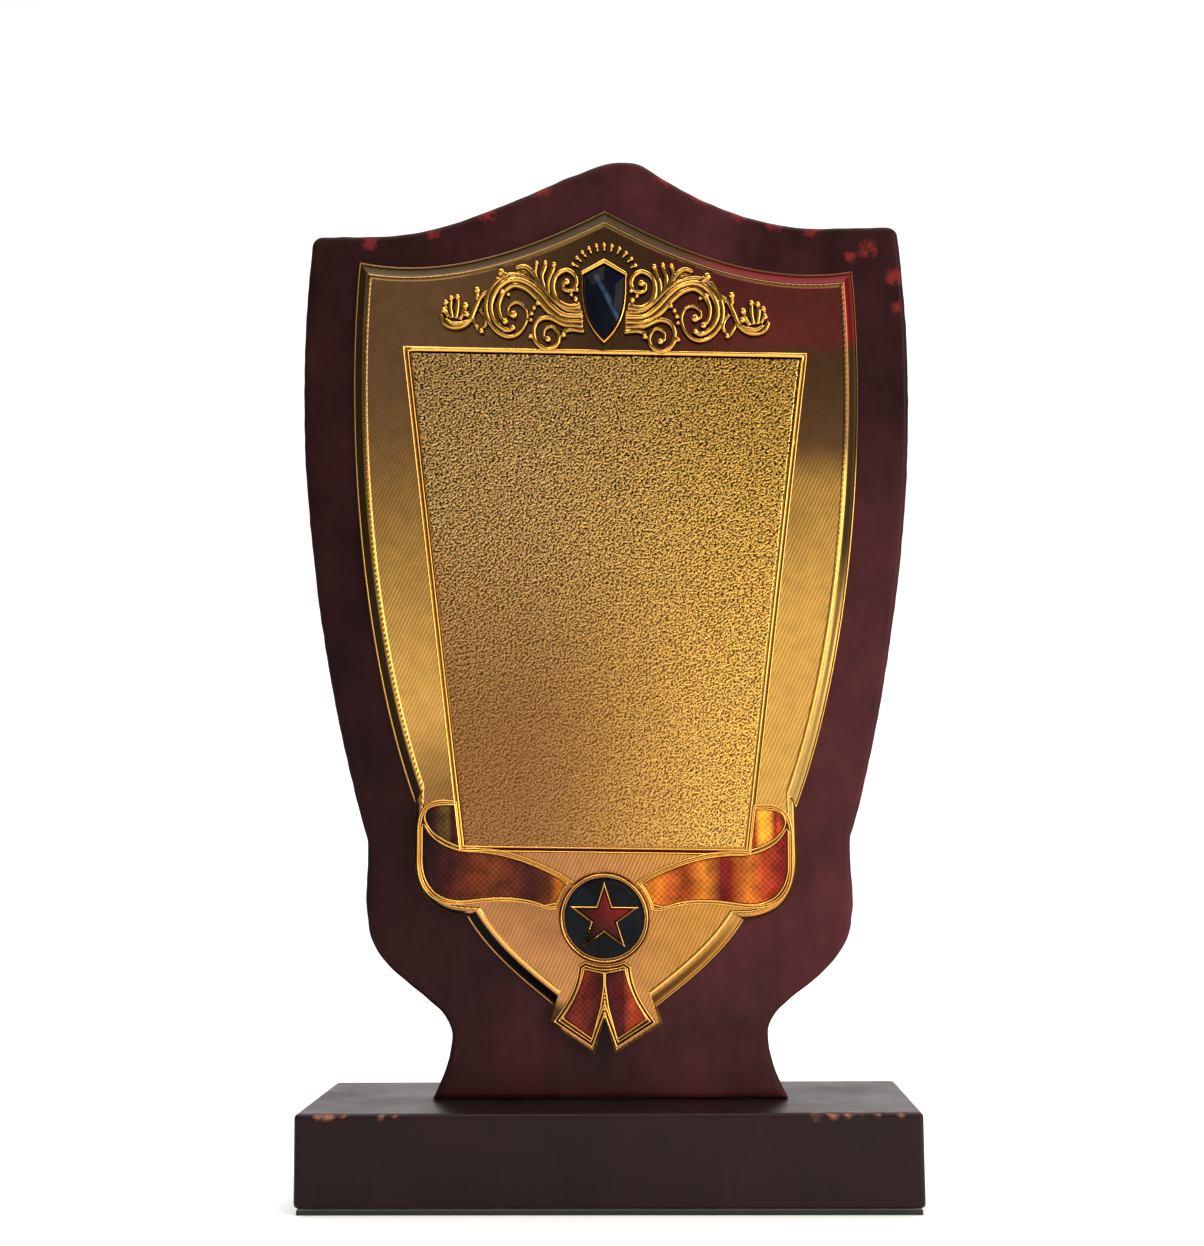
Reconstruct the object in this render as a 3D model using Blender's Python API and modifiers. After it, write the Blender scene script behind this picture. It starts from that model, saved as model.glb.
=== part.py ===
"""Free-standing shield plaque: a painted wooden board screwed to a flat base, with a gilt front.

World axes: +X to the viewer's right, +Y to the back, +Z up. The origin is the middle of the
underside. Lengths are metres. Outlines on the front are drawn in millimetres as (across, up)
pairs, across from the middle of the shield and up from the table.
"""
import math

import bmesh
import bpy
from mathutils.geometry import interpolate_bezier

MM = 0.001
ON_MIDDLE = 0.001             # a drawn point nearer than this to the middle line lies on it

# Clearances
SEAT_GAP = 0.3 * MM           # between two pieces that rest on or in each other

# Base
BASE_WIDTH = 127.0 * MM
BASE_DEPTH = 50.0 * MM
BASE_HEIGHT = 20.0 * MM       # top of the block above the table, felt included
BASE_EDGE_ROUND = 0.7 * MM
FELT_THICKNESS = 1.0 * MM
FELT_INSET = 0.6 * MM         # the felt stops this far inside the block's sides

# Board
BOARD_THICKNESS = 12.0 * MM
BOARD_HEIGHT = 205.0 * MM     # peak above the base
BOARD_CORNER_RISE = 189.0 * MM    # top corners above the base
BOARD_SHOULDER_RISE = 156.0 * MM  # widest place above the base
BOARD_NOTCH_RISE = 55.0 * MM      # shallow waist above the lobes
BOARD_LOBE_RISE = 38.0 * MM
BOARD_NECK_RISE = 13.5 * MM
BOARD_SHOULDER_HALF = 66.7 * MM
BOARD_CORNER_HALF = 65.2 * MM
BOARD_NOTCH_HALF = 52.0 * MM
BOARD_LOBE_HALF = 51.9 * MM
BOARD_NECK_HALF = 33.7 * MM
BOARD_FOOT_HALF = 37.8 * MM
BOARD_PEAK_OFFSET = 4.2 * MM  # the saw left the peak this far off the middle
BOARD_CORNER_RADIUS = 2.5 * MM
BOARD_EDGE_ROUND = 2.0 * MM

# Screws up through the base into the board
SCREW_DIAMETER = 4.0 * MM
SCREW_LENGTH = 34.0 * MM
SCREW_HEAD_DIAMETER = 8.0 * MM
SCREW_HEAD_HEIGHT = 2.6 * MM
SCREW_POINT = 4.0 * MM
SCREW_SPACING = 44.0 * MM
COUNTERBORE_DEPTH = 4.0 * MM
DRIVE_WIDTH = 1.0 * MM
DRIVE_SPAN = 4.4 * MM
DRIVE_DEPTH = 1.4 * MM

# Foam tape behind the sheet
TAPE_THICKNESS = 1.1 * MM
TAPE_WIDTH = 12.0 * MM

# Stamped gilt sheet
SHEET_WALL = 0.5 * MM
SHEET_SIDE_MARGIN = 11.3 * MM  # board edge to sheet edge at the shoulder
SHEET_TOP_MARGIN = 11.7 * MM   # board peak to sheet peak
SHEET_CORNER_MARGIN = 8.4 * MM  # board's top corners to the sheet's
SHEET_FOOT_RISE = 10.0 * MM    # ribbon tails above the base
SHEET_LIP = 0.35 * MM
SHEET_SLOPE = 0.95 * MM
BEAD_STEP = 1.5 * MM           # flat between the slope and the raised bead line
BEAD_WIDTH = 0.8 * MM
BEAD_RISE = 0.3 * MM

# How crooked the fitting was stuck on: it leans, and its top is pulled round more than its foot
FITTING_SHIFT = -0.3 * MM
FITTING_LEAN = 0.007
FITTING_TURN_FOOT = 0.015
FITTING_TURN_HEAD = 0.038

# Trims on the sheet
TRIM_THICKNESS = 1.0 * MM
INLAY_THICKNESS = 0.8 * MM
PANEL_BORDER = 1.4 * MM
PLATE_THICKNESS = 0.8 * MM
SCROLL_RADIUS = 0.85 * MM
SCROLL_VOXEL = 0.55 * MM
BEZEL_THICKNESS = 1.8 * MM
GEM_THICKNESS = 2.4 * MM
GEM_FACET = 0.9 * MM
BEAD_COUNT = 11
BEAD_PITCH = math.radians(13.4)
BEAD_RING_RADIUS = 7.0 * MM
BEAD_LENGTH = 1.9 * MM
BEAD_BREADTH = 1.0 * MM

# Medallion
MEDALLION_RADIUS = 9.7 * MM
MEDALLION_RING_WIDTH = 0.9 * MM
MEDALLION_RING_HEIGHT = 2.0 * MM
DISC_THICKNESS = 1.2 * MM
STAR_MARGIN = 0.6 * MM         # star's points to the disc's edge
STAR_LINE = 0.45 * MM
STAR_THICKNESS = 0.6 * MM

# Drawing of the gilt fitting, in millimetres
DRAWN_HALF_WIDTH = 55.4
DRAWN_TOP = 213.3
DRAWN_CORNER = 200.6
DRAWN_FOOT = 30.0
MEDALLION_CENTRE = (0.0, 58.3)
GEM_CENTRE = (0.0, 191.5)
CREST_CENTRE = (0.0, 197.3)
PANEL_TOP = 180.0
PANEL_BOTTOM = 73.2
PANEL_TOP_HALF = 42.8
PANEL_BOTTOM_HALF = 29.8
FOLD_TOP = 82.5

# Values worked out from the ones above
BASE_BOTTOM = FELT_THICKNESS + SEAT_GAP
BOARD_BOTTOM = BASE_HEIGHT + SEAT_GAP
BOARD_TOP = BASE_HEIGHT + BOARD_HEIGHT
BOARD_FRONT = -BOARD_THICKNESS / 2
SHEET_RISE = TAPE_THICKNESS + SEAT_GAP
LIP_FRONT = BOARD_FRONT - SEAT_GAP - SHEET_WALL
PLATEAU = LIP_FRONT - SHEET_RISE
TRIM_BACK = PLATEAU - SEAT_GAP
STAR_BACK = TRIM_BACK - DISC_THICKNESS - SEAT_GAP
SHEET_HALF_WIDTH = BOARD_SHOULDER_HALF - SHEET_SIDE_MARGIN
SHEET_TOP = BOARD_TOP - SHEET_TOP_MARGIN
SHEET_CORNER = BASE_HEIGHT + BOARD_CORNER_RISE - SHEET_CORNER_MARGIN
SHEET_FOOT = BASE_HEIGHT + SHEET_FOOT_RISE
SHEET_MIDDLE = (SHEET_FOOT + SHEET_TOP) / 2
DISC_RADIUS = MEDALLION_RADIUS - MEDALLION_RING_WIDTH - SEAT_GAP
STAR_RADIUS = DISC_RADIUS - STAR_MARGIN
HEAD_BOTTOM = BASE_BOTTOM + COUNTERBORE_DEPTH - SEAT_GAP - SCREW_HEAD_HEIGHT


# ---- Scene helpers -------------------------------------------------------------------------

def clear_scene():
    """Remove whatever the new file holds."""
    for obj in list(bpy.data.objects):
        bpy.data.objects.remove(obj, do_unlink=True)


def new_collection(name):
    """Make a collection and link it to the scene."""
    collection = bpy.data.collections.new(name)
    bpy.context.scene.collection.children.link(collection)
    return collection


def make_material(name, colour, roughness, metallic=0.0):
    """Make a plain Principled material."""
    material = bpy.data.materials.new(name)
    material.use_nodes = True
    shader = material.node_tree.nodes["Principled BSDF"]
    shader.inputs["Base Color"].default_value = (*colour, 1.0)
    shader.inputs["Roughness"].default_value = roughness
    shader.inputs["Metallic"].default_value = metallic
    return material


def add_object(name, data, collection, material=None):
    """Link a new object that holds the data, and give it its material."""
    obj = bpy.data.objects.new(name, data)
    collection.objects.link(obj)
    if material is not None:
        data.materials.append(material)
    return obj


def cut(obj, cutter):
    """Take the cutter's volume out of the object, and leave the cutter as a hidden guide."""
    cutter.hide_render = True
    cutter.display_type = "WIRE"
    modifier = obj.modifiers.new("cut " + cutter.name, "BOOLEAN")
    modifier.operation = "DIFFERENCE"
    modifier.solver = "EXACT"
    modifier.object = cutter


def mesh_from(shape, name):
    """Write a bmesh into a new mesh and free it."""
    mesh = bpy.data.meshes.new(name)
    shape.to_mesh(mesh)
    shape.free()
    return mesh


def mesh_of_curve(curve_object):
    """Turn a curve object into a welded mesh, and remove the curve."""
    bpy.context.view_layer.update()
    depsgraph = bpy.context.evaluated_depsgraph_get()
    mesh = bpy.data.meshes.new_from_object(curve_object.evaluated_get(depsgraph))
    mesh.transform(curve_object.matrix_world)
    shape = bmesh.new()
    shape.from_mesh(mesh)
    bmesh.ops.remove_doubles(shape, verts=shape.verts, dist=0.001 * MM)
    shape.to_mesh(mesh)
    shape.free()
    bpy.data.objects.remove(curve_object, do_unlink=True)
    return mesh


# ---- Outline helpers -----------------------------------------------------------------------

def path(start, *pieces, steps=8):
    """Points from start along pieces; a piece is (end,) or (handle, handle, end) of a cubic."""
    points = [start]
    for piece in pieces:
        if len(piece) == 1:
            points.append(piece[0])
            continue
        knots = [(*point, 0.0) for point in (points[-1], *piece)]
        curve = interpolate_bezier(knots[0], knots[1], knots[2], knots[3], steps + 1)
        points += [(point.x, point.y) for point in curve[1:]]
    return points


def mirrored(half):
    """Close a right half, drawn from its top or bottom middle round to the other, on the left."""
    left = [(-x, z) for x, z in reversed(half) if abs(x) > ON_MIDDLE]
    return half + left


def flipped(points):
    """The same outline on the other side of the middle."""
    return [(-x, z) for x, z in points]


def counterclockwise(points):
    """The outline in counterclockwise order."""
    area = sum(a[0] * b[1] - b[0] * a[1] for a, b in zip(points, points[1:] + points[:1]))
    return points if area > 0 else points[::-1]


def inset(points, distance):
    """The closed outline moved inwards by a distance, corners mitred."""
    points = counterclockwise(points)
    moved = []
    for before, here, after in zip(points[-1:] + points[:-1], points, points[1:] + points[:1]):
        first = math.atan2(here[1] - before[1], here[0] - before[0])
        second = math.atan2(after[1] - here[1], after[0] - here[0])
        half_turn = math.remainder(second - first, math.tau) / 2
        reach = distance / max(math.cos(half_turn), 0.35)
        inward = first + half_turn + math.pi / 2
        moved.append((here[0] + reach * math.cos(inward), here[1] + reach * math.sin(inward)))
    return moved


def arc(centre, radius, start, end, steps):
    """Points on a circle between two angles in degrees."""
    angles = [math.radians(start + (end - start) * step / steps) for step in range(steps + 1)]
    return [(centre[0] + radius * math.cos(a), centre[1] + radius * math.sin(a)) for a in angles]


def on_sheet(point):
    """World (x, z) of a drawn point: the drawing is stretched to the sheet, then stuck crooked."""
    across, up = point
    x = across * SHEET_HALF_WIDTH / DRAWN_HALF_WIDTH
    if up <= DRAWN_CORNER:
        share = (up - DRAWN_FOOT) / (DRAWN_CORNER - DRAWN_FOOT)
        z = SHEET_FOOT + share * (SHEET_CORNER - SHEET_FOOT)
    else:
        share = (up - DRAWN_CORNER) / (DRAWN_TOP - DRAWN_CORNER)
        z = SHEET_CORNER + share * (SHEET_TOP - SHEET_CORNER)
    rise = (z - SHEET_FOOT) / (SHEET_TOP - SHEET_FOOT)
    turn = FITTING_TURN_FOOT + rise * (FITTING_TURN_HEAD - FITTING_TURN_FOOT)
    return x + FITTING_SHIFT + FITTING_LEAN * (z - SHEET_MIDDLE), z - turn * x


def on_crest(point):
    """World (x, z) of a point drawn for the crest, which keeps its own size round the gem."""
    middle_x, middle_z = on_sheet(GEM_CENTRE)
    x = (point[0] - GEM_CENTRE[0]) * MM
    z = (point[1] - GEM_CENTRE[1]) * MM
    return middle_x + x + FITTING_LEAN * z, middle_z + z - FITTING_TURN_HEAD * x


def placed(points, where=on_sheet):
    """World (x, z) of each drawn point."""
    return [where(point) for point in points]


# ---- Solid helpers -------------------------------------------------------------------------

def flat_piece(name, rings, back, thickness, material):
    """A plate on the front, from an outline and its holes; back is the y of its rear face."""
    curve = bpy.data.curves.new(name, "CURVE")
    curve.dimensions = "2D"
    curve.fill_mode = "BOTH"
    curve.extrude = thickness / 2
    for ring in rings:
        spline = curve.splines.new("POLY")
        spline.points.add(len(ring) - 1)
        for point, (x, z) in zip(spline.points, ring):
            point.co = (x, z, 0.0, 1.0)
        spline.use_cyclic_u = True
    obj = add_object(name, curve, PARTS, material)
    obj.rotation_euler.x = math.pi / 2
    obj.location.y = back - thickness / 2


def turned(name, profile, material, steps):
    """A solid turned about Z from (radius, height) points that run from top to bottom."""
    mesh = bpy.data.meshes.new(name)
    mesh.from_pydata([(radius, 0.0, height) for radius, height in profile],
                     [(i, i + 1) for i in range(len(profile) - 1)], [])
    obj = add_object(name, mesh, PARTS, material)
    screw = obj.modifiers.new("turn", "SCREW")
    screw.steps = steps
    screw.render_steps = steps
    screw.use_merge_vertices = True
    screw.merge_threshold = 0.005 * MM
    screw.use_smooth_shade = True
    return obj


def block(name, size, location, collection, material=None):
    """A box with its scale in the mesh."""
    shape = bmesh.new()
    bmesh.ops.create_cube(shape, size=1.0)
    bmesh.ops.scale(shape, vec=size, verts=shape.verts)
    obj = add_object(name, mesh_from(shape, name), collection, material)
    obj.location = location
    return obj


def crowned_surface(outline, front, steps):
    """A front face of the outline at y = front, stepped inwards by (width, rise) pairs."""
    shape = bmesh.new()
    verts = [shape.verts.new((x, front, z)) for x, z in counterclockwise(outline)]
    face = shape.faces.new(verts)
    shape.normal_update()
    for width, rise in steps:
        bmesh.ops.inset_region(shape, faces=[face], thickness=width, depth=rise,
                               use_boundary=True, use_even_offset=True)
    return shape


def sweep(points, radius, y, taper=1.0):
    """Mesh of a round strand through (x, z) points at one depth, thinner towards its end."""
    curve = bpy.data.curves.new("strand", "CURVE")
    curve.dimensions = "3D"
    curve.bevel_depth = radius
    curve.bevel_resolution = 1
    curve.use_fill_caps = True
    spline = curve.splines.new("POLY")
    spline.points.add(len(points) - 1)
    for index, (point, (x, z)) in enumerate(zip(spline.points, points)):
        point.co = (x, y, z, 1.0)
        point.radius = 1.0 + (taper - 1.0) * index / (len(points) - 1)
    return mesh_of_curve(add_object("strand", curve, CUTTERS))


def ball(x, y, z, size, angle=0.0):
    """Mesh of an ellipsoid of the (across, deep, long) size, its long axis turned in the front."""
    shape = bmesh.new()
    bmesh.ops.create_uvsphere(shape, u_segments=12, v_segments=8, radius=0.5)
    bmesh.ops.scale(shape, vec=size, verts=shape.verts)
    turn = math.pi / 2 - angle
    for vert in shape.verts:
        across, up = vert.co.x, vert.co.z
        vert.co.x = x + across * math.cos(turn) + up * math.sin(turn)
        vert.co.z = z - across * math.sin(turn) + up * math.cos(turn)
        vert.co.y += y
    return mesh_from(shape, "ball")


def fused(name, meshes, material, voxel, keep):
    """One body from overlapping meshes, remeshed and then thinned to a share of its faces."""
    shape = bmesh.new()
    for mesh in meshes:
        shape.from_mesh(mesh)
        bpy.data.meshes.remove(mesh)
    obj = add_object(name, mesh_from(shape, name), PARTS, material)
    remesh = obj.modifiers.new("fuse", "REMESH")
    remesh.mode = "VOXEL"
    remesh.voxel_size = voxel
    remesh.use_smooth_shade = True
    thin = obj.modifiers.new("thin", "DECIMATE")
    thin.ratio = keep
    return obj


# ---- Drawn outlines ------------------------------------------------------------------------

def board_outline():
    """The board's edge as world (x, z) points: a mirrored flank and a top with its own peak."""
    def up(rise):
        return BASE_HEIGHT + rise

    notch, lobe, neck = up(BOARD_NOTCH_RISE), up(BOARD_LOBE_RISE), up(BOARD_NECK_RISE)
    shoulder, corner = up(BOARD_SHOULDER_RISE), up(BOARD_CORNER_RISE)
    span = shoulder - notch
    flank = path(
        (BOARD_FOOT_HALF, BOARD_BOTTOM),
        ((BOARD_NECK_HALF + 1.9 * MM, BASE_HEIGHT + 4.5 * MM),
         (BOARD_NECK_HALF + 0.1 * MM, neck - 4.5 * MM), (BOARD_NECK_HALF, neck)),
        ((BOARD_NECK_HALF - 0.2 * MM, neck + 8 * MM),
         (BOARD_LOBE_HALF - 0.7 * MM, lobe - 13 * MM), (BOARD_LOBE_HALF, lobe)),
        ((BOARD_LOBE_HALF + 1.1 * MM, lobe + 5 * MM),
         (BOARD_NOTCH_HALF - 0.6 * MM, notch - 6 * MM), (BOARD_NOTCH_HALF, notch)),
        ((BOARD_NOTCH_HALF + 7 * MM, notch + 0.22 * span),
         (BOARD_SHOULDER_HALF + 0.3 * MM, shoulder - 0.36 * span),
         (BOARD_SHOULDER_HALF, shoulder)),
        ((BOARD_SHOULDER_HALF + 0.1 * MM, shoulder + 12 * MM),
         (BOARD_CORNER_HALF + 0.5 * MM, corner - 8 * MM),
         (BOARD_CORNER_HALF, corner - BOARD_CORNER_RADIUS)), steps=14)
    corner_centre = (BOARD_CORNER_HALF - BOARD_CORNER_RADIUS, corner - BOARD_CORNER_RADIUS)
    flank += arc(corner_centre, BOARD_CORNER_RADIUS, 0, 90, 4)[1:]
    peak = BOARD_PEAK_OFFSET
    top = path(
        (48 * MM, corner),
        ((35 * MM, corner + 0.5 * MM), (peak + 20 * MM, BOARD_TOP - 11.5 * MM),
         (peak + 4.8 * MM, BOARD_TOP - 1 * MM)),
        ((peak + 2.3 * MM, BOARD_TOP + 0.3 * MM), (peak - 2.2 * MM, BOARD_TOP + 0.3 * MM),
         (peak - 5.2 * MM, BOARD_TOP - 0.7 * MM)),
        ((peak - 21 * MM, BOARD_TOP - 6.5 * MM), (-33 * MM, corner + 0.5 * MM),
         (-48 * MM, corner)), steps=14)
    return flank + top + flipped(flank)[::-1]


def sheet_outline():
    """Edge of the gilt sheet: a shield with the ribbon's lobes and tails in its silhouette."""
    return mirrored(path(
        (0.0, DRAWN_TOP),
        ((17.5, 203.8), (36.0, 197.0), (54.5, DRAWN_CORNER)),
        ((57.3, 167.0), (54.0, 117.0), (40.9, FOLD_TOP - 0.5)),
        ((41.1, 72.0),),
        ((41.2, 63.5), (37.2, 58.3), (29.5, 58.1)),
        ((25.0, 50.7), (17.9, 45.1), (11.0, 39.7)),
        ((12.1, 36.4),),
        ((2.25, DRAWN_FOOT),),
        ((0.0, 37.5),)))


def panel_outline(grow=0.0):
    """Four corners of the lettering panel, which is wider at its top; grow moves each edge out."""
    corners = placed([(-PANEL_BOTTOM_HALF, PANEL_BOTTOM), (PANEL_BOTTOM_HALF, PANEL_BOTTOM),
                      (PANEL_TOP_HALF, PANEL_TOP), (-PANEL_TOP_HALF, PANEL_TOP)])
    return inset(corners, -grow)


def panel_side(up):
    """Half-width of the panel at a drawn height."""
    share = (up - PANEL_BOTTOM) / (PANEL_TOP - PANEL_BOTTOM)
    return PANEL_BOTTOM_HALF + share * (PANEL_TOP_HALF - PANEL_BOTTOM_HALF)


def round_medallion(side, gap, start, end):
    """World points on an arc that clears the medallion; degrees as on the right-hand side."""
    if side < 0:
        start, end = 180 - start, 180 - end
    return arc(on_sheet(MEDALLION_CENTRE), MEDALLION_RADIUS + gap, start, end, 6)


def off_medallion(side, gap, angle):
    """World point at a gap from the medallion's edge, in a direction given in degrees."""
    return round_medallion(side, gap, angle, angle)[0]


def on_side(side, *pieces):
    """Drawn pieces of a path as world points, mirrored for the left-hand side."""
    return [placed([(side * x, z) for x, z in piece]) for piece in pieces]


def ribbon_outline(side):
    """Edge of one half of the ribbon's gilt frame; side is 1 on the right and -1 on the left."""
    clear = panel_side(FOLD_TOP) + 0.6
    lower = on_side(
        side,
        ((17.0, 61.9), (23.0, 61.6), (28.5, 60.8)),
        ((38.0, 59.4), (40.0, 65.0), (40.0, 70.0)),
        ((40.0, 76.5),),
        ((39.8, 81.0), (38.0, 83.6), (clear, FOLD_TOP)),
        ((PANEL_BOTTOM_HALF + 0.6, PANEL_BOTTOM - 0.6),),
        ((22.0, 73.2), (16.0, 71.0)))
    lower[-1].append(off_medallion(side, 2.75 * MM, 46))
    return (path(off_medallion(side, 2.4 * MM, 7), *lower)
            + round_medallion(side, SEAT_GAP, 49, 9))


def band_outline(side):
    """Pocket for the front band of the ribbon."""
    lower = on_side(
        side,
        ((17.5, 62.9), (23.0, 62.6), (28.5, 61.8)),
        ((36.5, 60.6), (38.7, 66.0), (38.7, 70.0)),
        ((38.7, 77.5),),
        ((37.3, 74.3), (34.0, 72.2), (29.4, 71.6)),
        ((22.0, 71.7), (16.0, 69.6)))
    lower[-1].append(off_medallion(side, 2.9 * MM, 40))
    return (path(off_medallion(side, 3.3 * MM, 11.5), *lower, steps=6)
            + round_medallion(side, SEAT_GAP + 0.8 * MM, 41, 17))


def fold_outline(side):
    """Pocket for the part of the ribbon that turns back behind the panel."""
    start, upper, lower = on_side(
        side,
        ((panel_side(PANEL_BOTTOM) + 1.2, 73.1),),
        ((34.5, 74.2), (37.0, 76.0), (37.2, 79.0)),
        ((37.0, 81.2), (35.5, 82.1), (panel_side(FOLD_TOP) + 1.3, 81.5)))
    return path(start[0], upper, lower, steps=6)


def tail_outline():
    """Edge of the gilt frame round both ribbon tails."""
    edges = []
    for side in (1, -1):
        flank, tip, notch = on_side(side, ((5.9, 43.6), (8.0, 40.4), (10.8, 36.6)),
                                    ((2.5, 31.2),), ((0.0, 38.0),))
        edges.append(path(off_medallion(side, 1.85 * MM, -61), flank, tip, notch))
    return edges[0] + edges[1][-2::-1] + round_medallion(1, SEAT_GAP, 238, 302)


def tail_pocket():
    """Pocket for the enamel of both tails, which are one piece above the notch."""
    notch = off_medallion(1, 3.6 * MM, 270)
    edges = []
    for side in (1, -1):
        flank, tip, inner = on_side(side, ((4.9, 43.6), (6.8, 40.2), (8.6, 37.4)),
                                    ((2.75, 33.4),), ((1.0, 39.8),))
        edges.append(path(off_medallion(side, 2.0 * MM, -69), flank, tip, inner, [notch]))
    return edges[0] + edges[1][-2::-1] + round_medallion(1, SEAT_GAP + 0.9 * MM, 250, 290)


def gem_outline():
    """Edge of the stone: a small shield with a gable."""
    return placed(mirrored(path(
        (0.0, 199.8), ((4.2, 197.4),),
        ((4.3, 191.0), (3.6, 187.0), (0.0, 183.7)), steps=4)), on_crest)


def bezel_outline():
    """Edge of the stone's gilt frame, whose gable oversails its sides."""
    return placed(mirrored(path(
        (0.0, 201.8), ((5.3, 198.6),), ((5.0, 197.2),),
        ((5.3, 191.0), (4.5, 186.4), (0.0, 182.2)))), on_crest)


def star_outline():
    """Ten corners of a regular five-pointed star on the medallion, world (x, z)."""
    centre = on_sheet(MEDALLION_CENTRE)
    inner = STAR_RADIUS * math.cos(math.radians(72)) / math.cos(math.radians(36))
    corners = []
    for step in range(10):
        angle = math.radians(90 + 36 * step) - FITTING_TURN_FOOT
        radius = inner if step % 2 else STAR_RADIUS
        corners.append((centre[0] + radius * math.cos(angle), centre[1] + radius * math.sin(angle)))
    return corners


def whorl(centre, start_radius, end_radius, start, turns, steps):
    """Points of a spiral that closes clockwise, start angle in degrees."""
    points = []
    for step in range(steps + 1):
        share = step / steps
        radius = start_radius + (end_radius - start_radius) * share
        angle = math.radians(start - 360 * turns * share)
        points.append((centre[0] + radius * math.cos(angle), centre[1] + radius * math.sin(angle)))
    return points


# ---- Pieces --------------------------------------------------------------------------------

def build_board(material):
    """The wooden shield, with its round-over and two pilot holes in its foot."""
    shape = crowned_surface(board_outline(), BOARD_FRONT, ())
    sides = bmesh.ops.extrude_face_region(shape, geom=shape.faces[:])["geom"]
    for vert in (item for item in sides if isinstance(item, bmesh.types.BMVert)):
        vert.co.y = -BOARD_FRONT
    bmesh.ops.recalc_face_normals(shape, faces=shape.faces)
    weight = shape.edges.layers.float.new("bevel_weight_edge")
    for edge in shape.edges:
        first, second = edge.verts
        edge[weight] = 1.0 if first.co.y * second.co.y > 0 else 0.0
    obj = add_object("shield_board", mesh_from(shape, "shield_board"), PARTS, material)
    bevel = obj.modifiers.new("round over", "BEVEL")
    bevel.limit_method = "WEIGHT"
    bevel.width = BOARD_EDGE_ROUND
    bevel.segments = 3
    bevel.use_clamp_overlap = False
    for cutter in screw_cutters("pilot", SCREW_DIAMETER / 2 + SEAT_GAP, BOARD_BOTTOM - 1 * MM,
                                screw_tip() + SEAT_GAP):
        cut(obj, cutter)


def screw_tip():
    """Height of the screws' points."""
    return HEAD_BOTTOM + SCREW_HEAD_HEIGHT + SCREW_LENGTH


def screw_places():
    """Name and x of each screw."""
    return (("left", -SCREW_SPACING / 2), ("right", SCREW_SPACING / 2))


def screw_cutters(name, radius, low, high):
    """Round cutters on the screws' axes between two heights."""
    cutters = []
    for side, x in screw_places():
        shape = bmesh.new()
        bmesh.ops.create_cone(shape, cap_ends=True, segments=24, radius1=radius, radius2=radius,
                              depth=high - low)
        cutter = add_object(f"{name}_{side}", mesh_from(shape, name), CUTTERS)
        cutter.location = (x, 0.0, (low + high) / 2)
        cutters.append(cutter)
    return cutters


def build_base(wood, felt):
    """The base block with its screw holes, and the felt glued under it."""
    height = BASE_HEIGHT - BASE_BOTTOM
    base = block("base_block", (BASE_WIDTH, BASE_DEPTH, height),
                 (0.0, 0.0, BASE_BOTTOM + height / 2), PARTS, wood)
    bevel = base.modifiers.new("soften edges", "BEVEL")
    bevel.width = BASE_EDGE_ROUND
    bevel.segments = 2
    head = SCREW_HEAD_DIAMETER / 2 + 2 * SEAT_GAP
    shank = SCREW_DIAMETER / 2 + SEAT_GAP
    floor = BASE_BOTTOM + COUNTERBORE_DEPTH
    for cutter in (screw_cutters("counterbore", head, BASE_BOTTOM - 1 * MM, floor)
                   + screw_cutters("clearance", shank, floor - 1 * MM, BASE_HEIGHT + 1 * MM)):
        cut(base, cutter)
    block("base_felt", (BASE_WIDTH - 2 * FELT_INSET, BASE_DEPTH - 2 * FELT_INSET, FELT_THICKNESS),
          (0.0, 0.0, FELT_THICKNESS / 2), PARTS, felt)


def build_screws(steel):
    """Two wood screws, heads down in their counterbores."""
    shank, head = SCREW_DIAMETER / 2, SCREW_HEAD_DIAMETER / 2
    shoulder = HEAD_BOTTOM + SCREW_HEAD_HEIGHT
    profile = [(0.0, screw_tip()), (shank, screw_tip() - SCREW_POINT), (shank, shoulder),
               (head, shoulder), (head, HEAD_BOTTOM + 0.8 * MM), (head - 0.8 * MM, HEAD_BOTTOM),
               (0.0, HEAD_BOTTOM)]
    for side, x in screw_places():
        screw = turned(f"screw_{side}", profile, steel, steps=20)
        screw.location.x = x
        for index, size in enumerate([(DRIVE_SPAN, DRIVE_WIDTH), (DRIVE_WIDTH, DRIVE_SPAN)]):
            cut(screw, block(f"drive_{side}_{index}", (*size, 2 * DRIVE_DEPTH),
                             (x, 0.0, HEAD_BOTTOM), CUTTERS))


def build_tapes(foam):
    """Four strips of foam tape that hold the sheet to the board."""
    reach = TAPE_WIDTH / MM / 2
    upper = [(-36.0, 188.0 - reach), (36.0, 188.0 - reach), (36.0, 188.0 + reach),
             (-36.0, 188.0 + reach)]
    lower = [(-16.0, 55.0), (16.0, 55.0), (16.0, 55.0 + 2 * reach), (-16.0, 55.0 + 2 * reach)]
    right = [(46.0 - 2 * reach, 110.0), (44.0, 110.0), (48.0, 172.0), (48.0 - 2 * reach, 172.0)]
    left = flipped(right)
    back = BOARD_FRONT - SEAT_GAP
    for name, drawn in (("upper", upper), ("lower", lower), ("left", left), ("right", right)):
        flat_piece(f"tape_{name}", [placed(drawn)], back, TAPE_THICKNESS, foam)


def build_sheet(gilt):
    """The stamped sheet: a lip on the board, a slope, and a raised plateau with a bead line."""
    shape = crowned_surface(
        placed(sheet_outline()), LIP_FRONT,
        ((SHEET_LIP, 0.0), (SHEET_SLOPE, SHEET_RISE), (BEAD_STEP, 0.0),
         (BEAD_WIDTH / 2, BEAD_RISE), (BEAD_WIDTH / 2, -BEAD_RISE)))
    obj = add_object("shield_sheet", mesh_from(shape, "shield_sheet"), PARTS, gilt)
    wall = obj.modifiers.new("wall", "SOLIDIFY")
    wall.thickness = SHEET_WALL
    wall.offset = -1.0
    wall.use_even_offset = True


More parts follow.
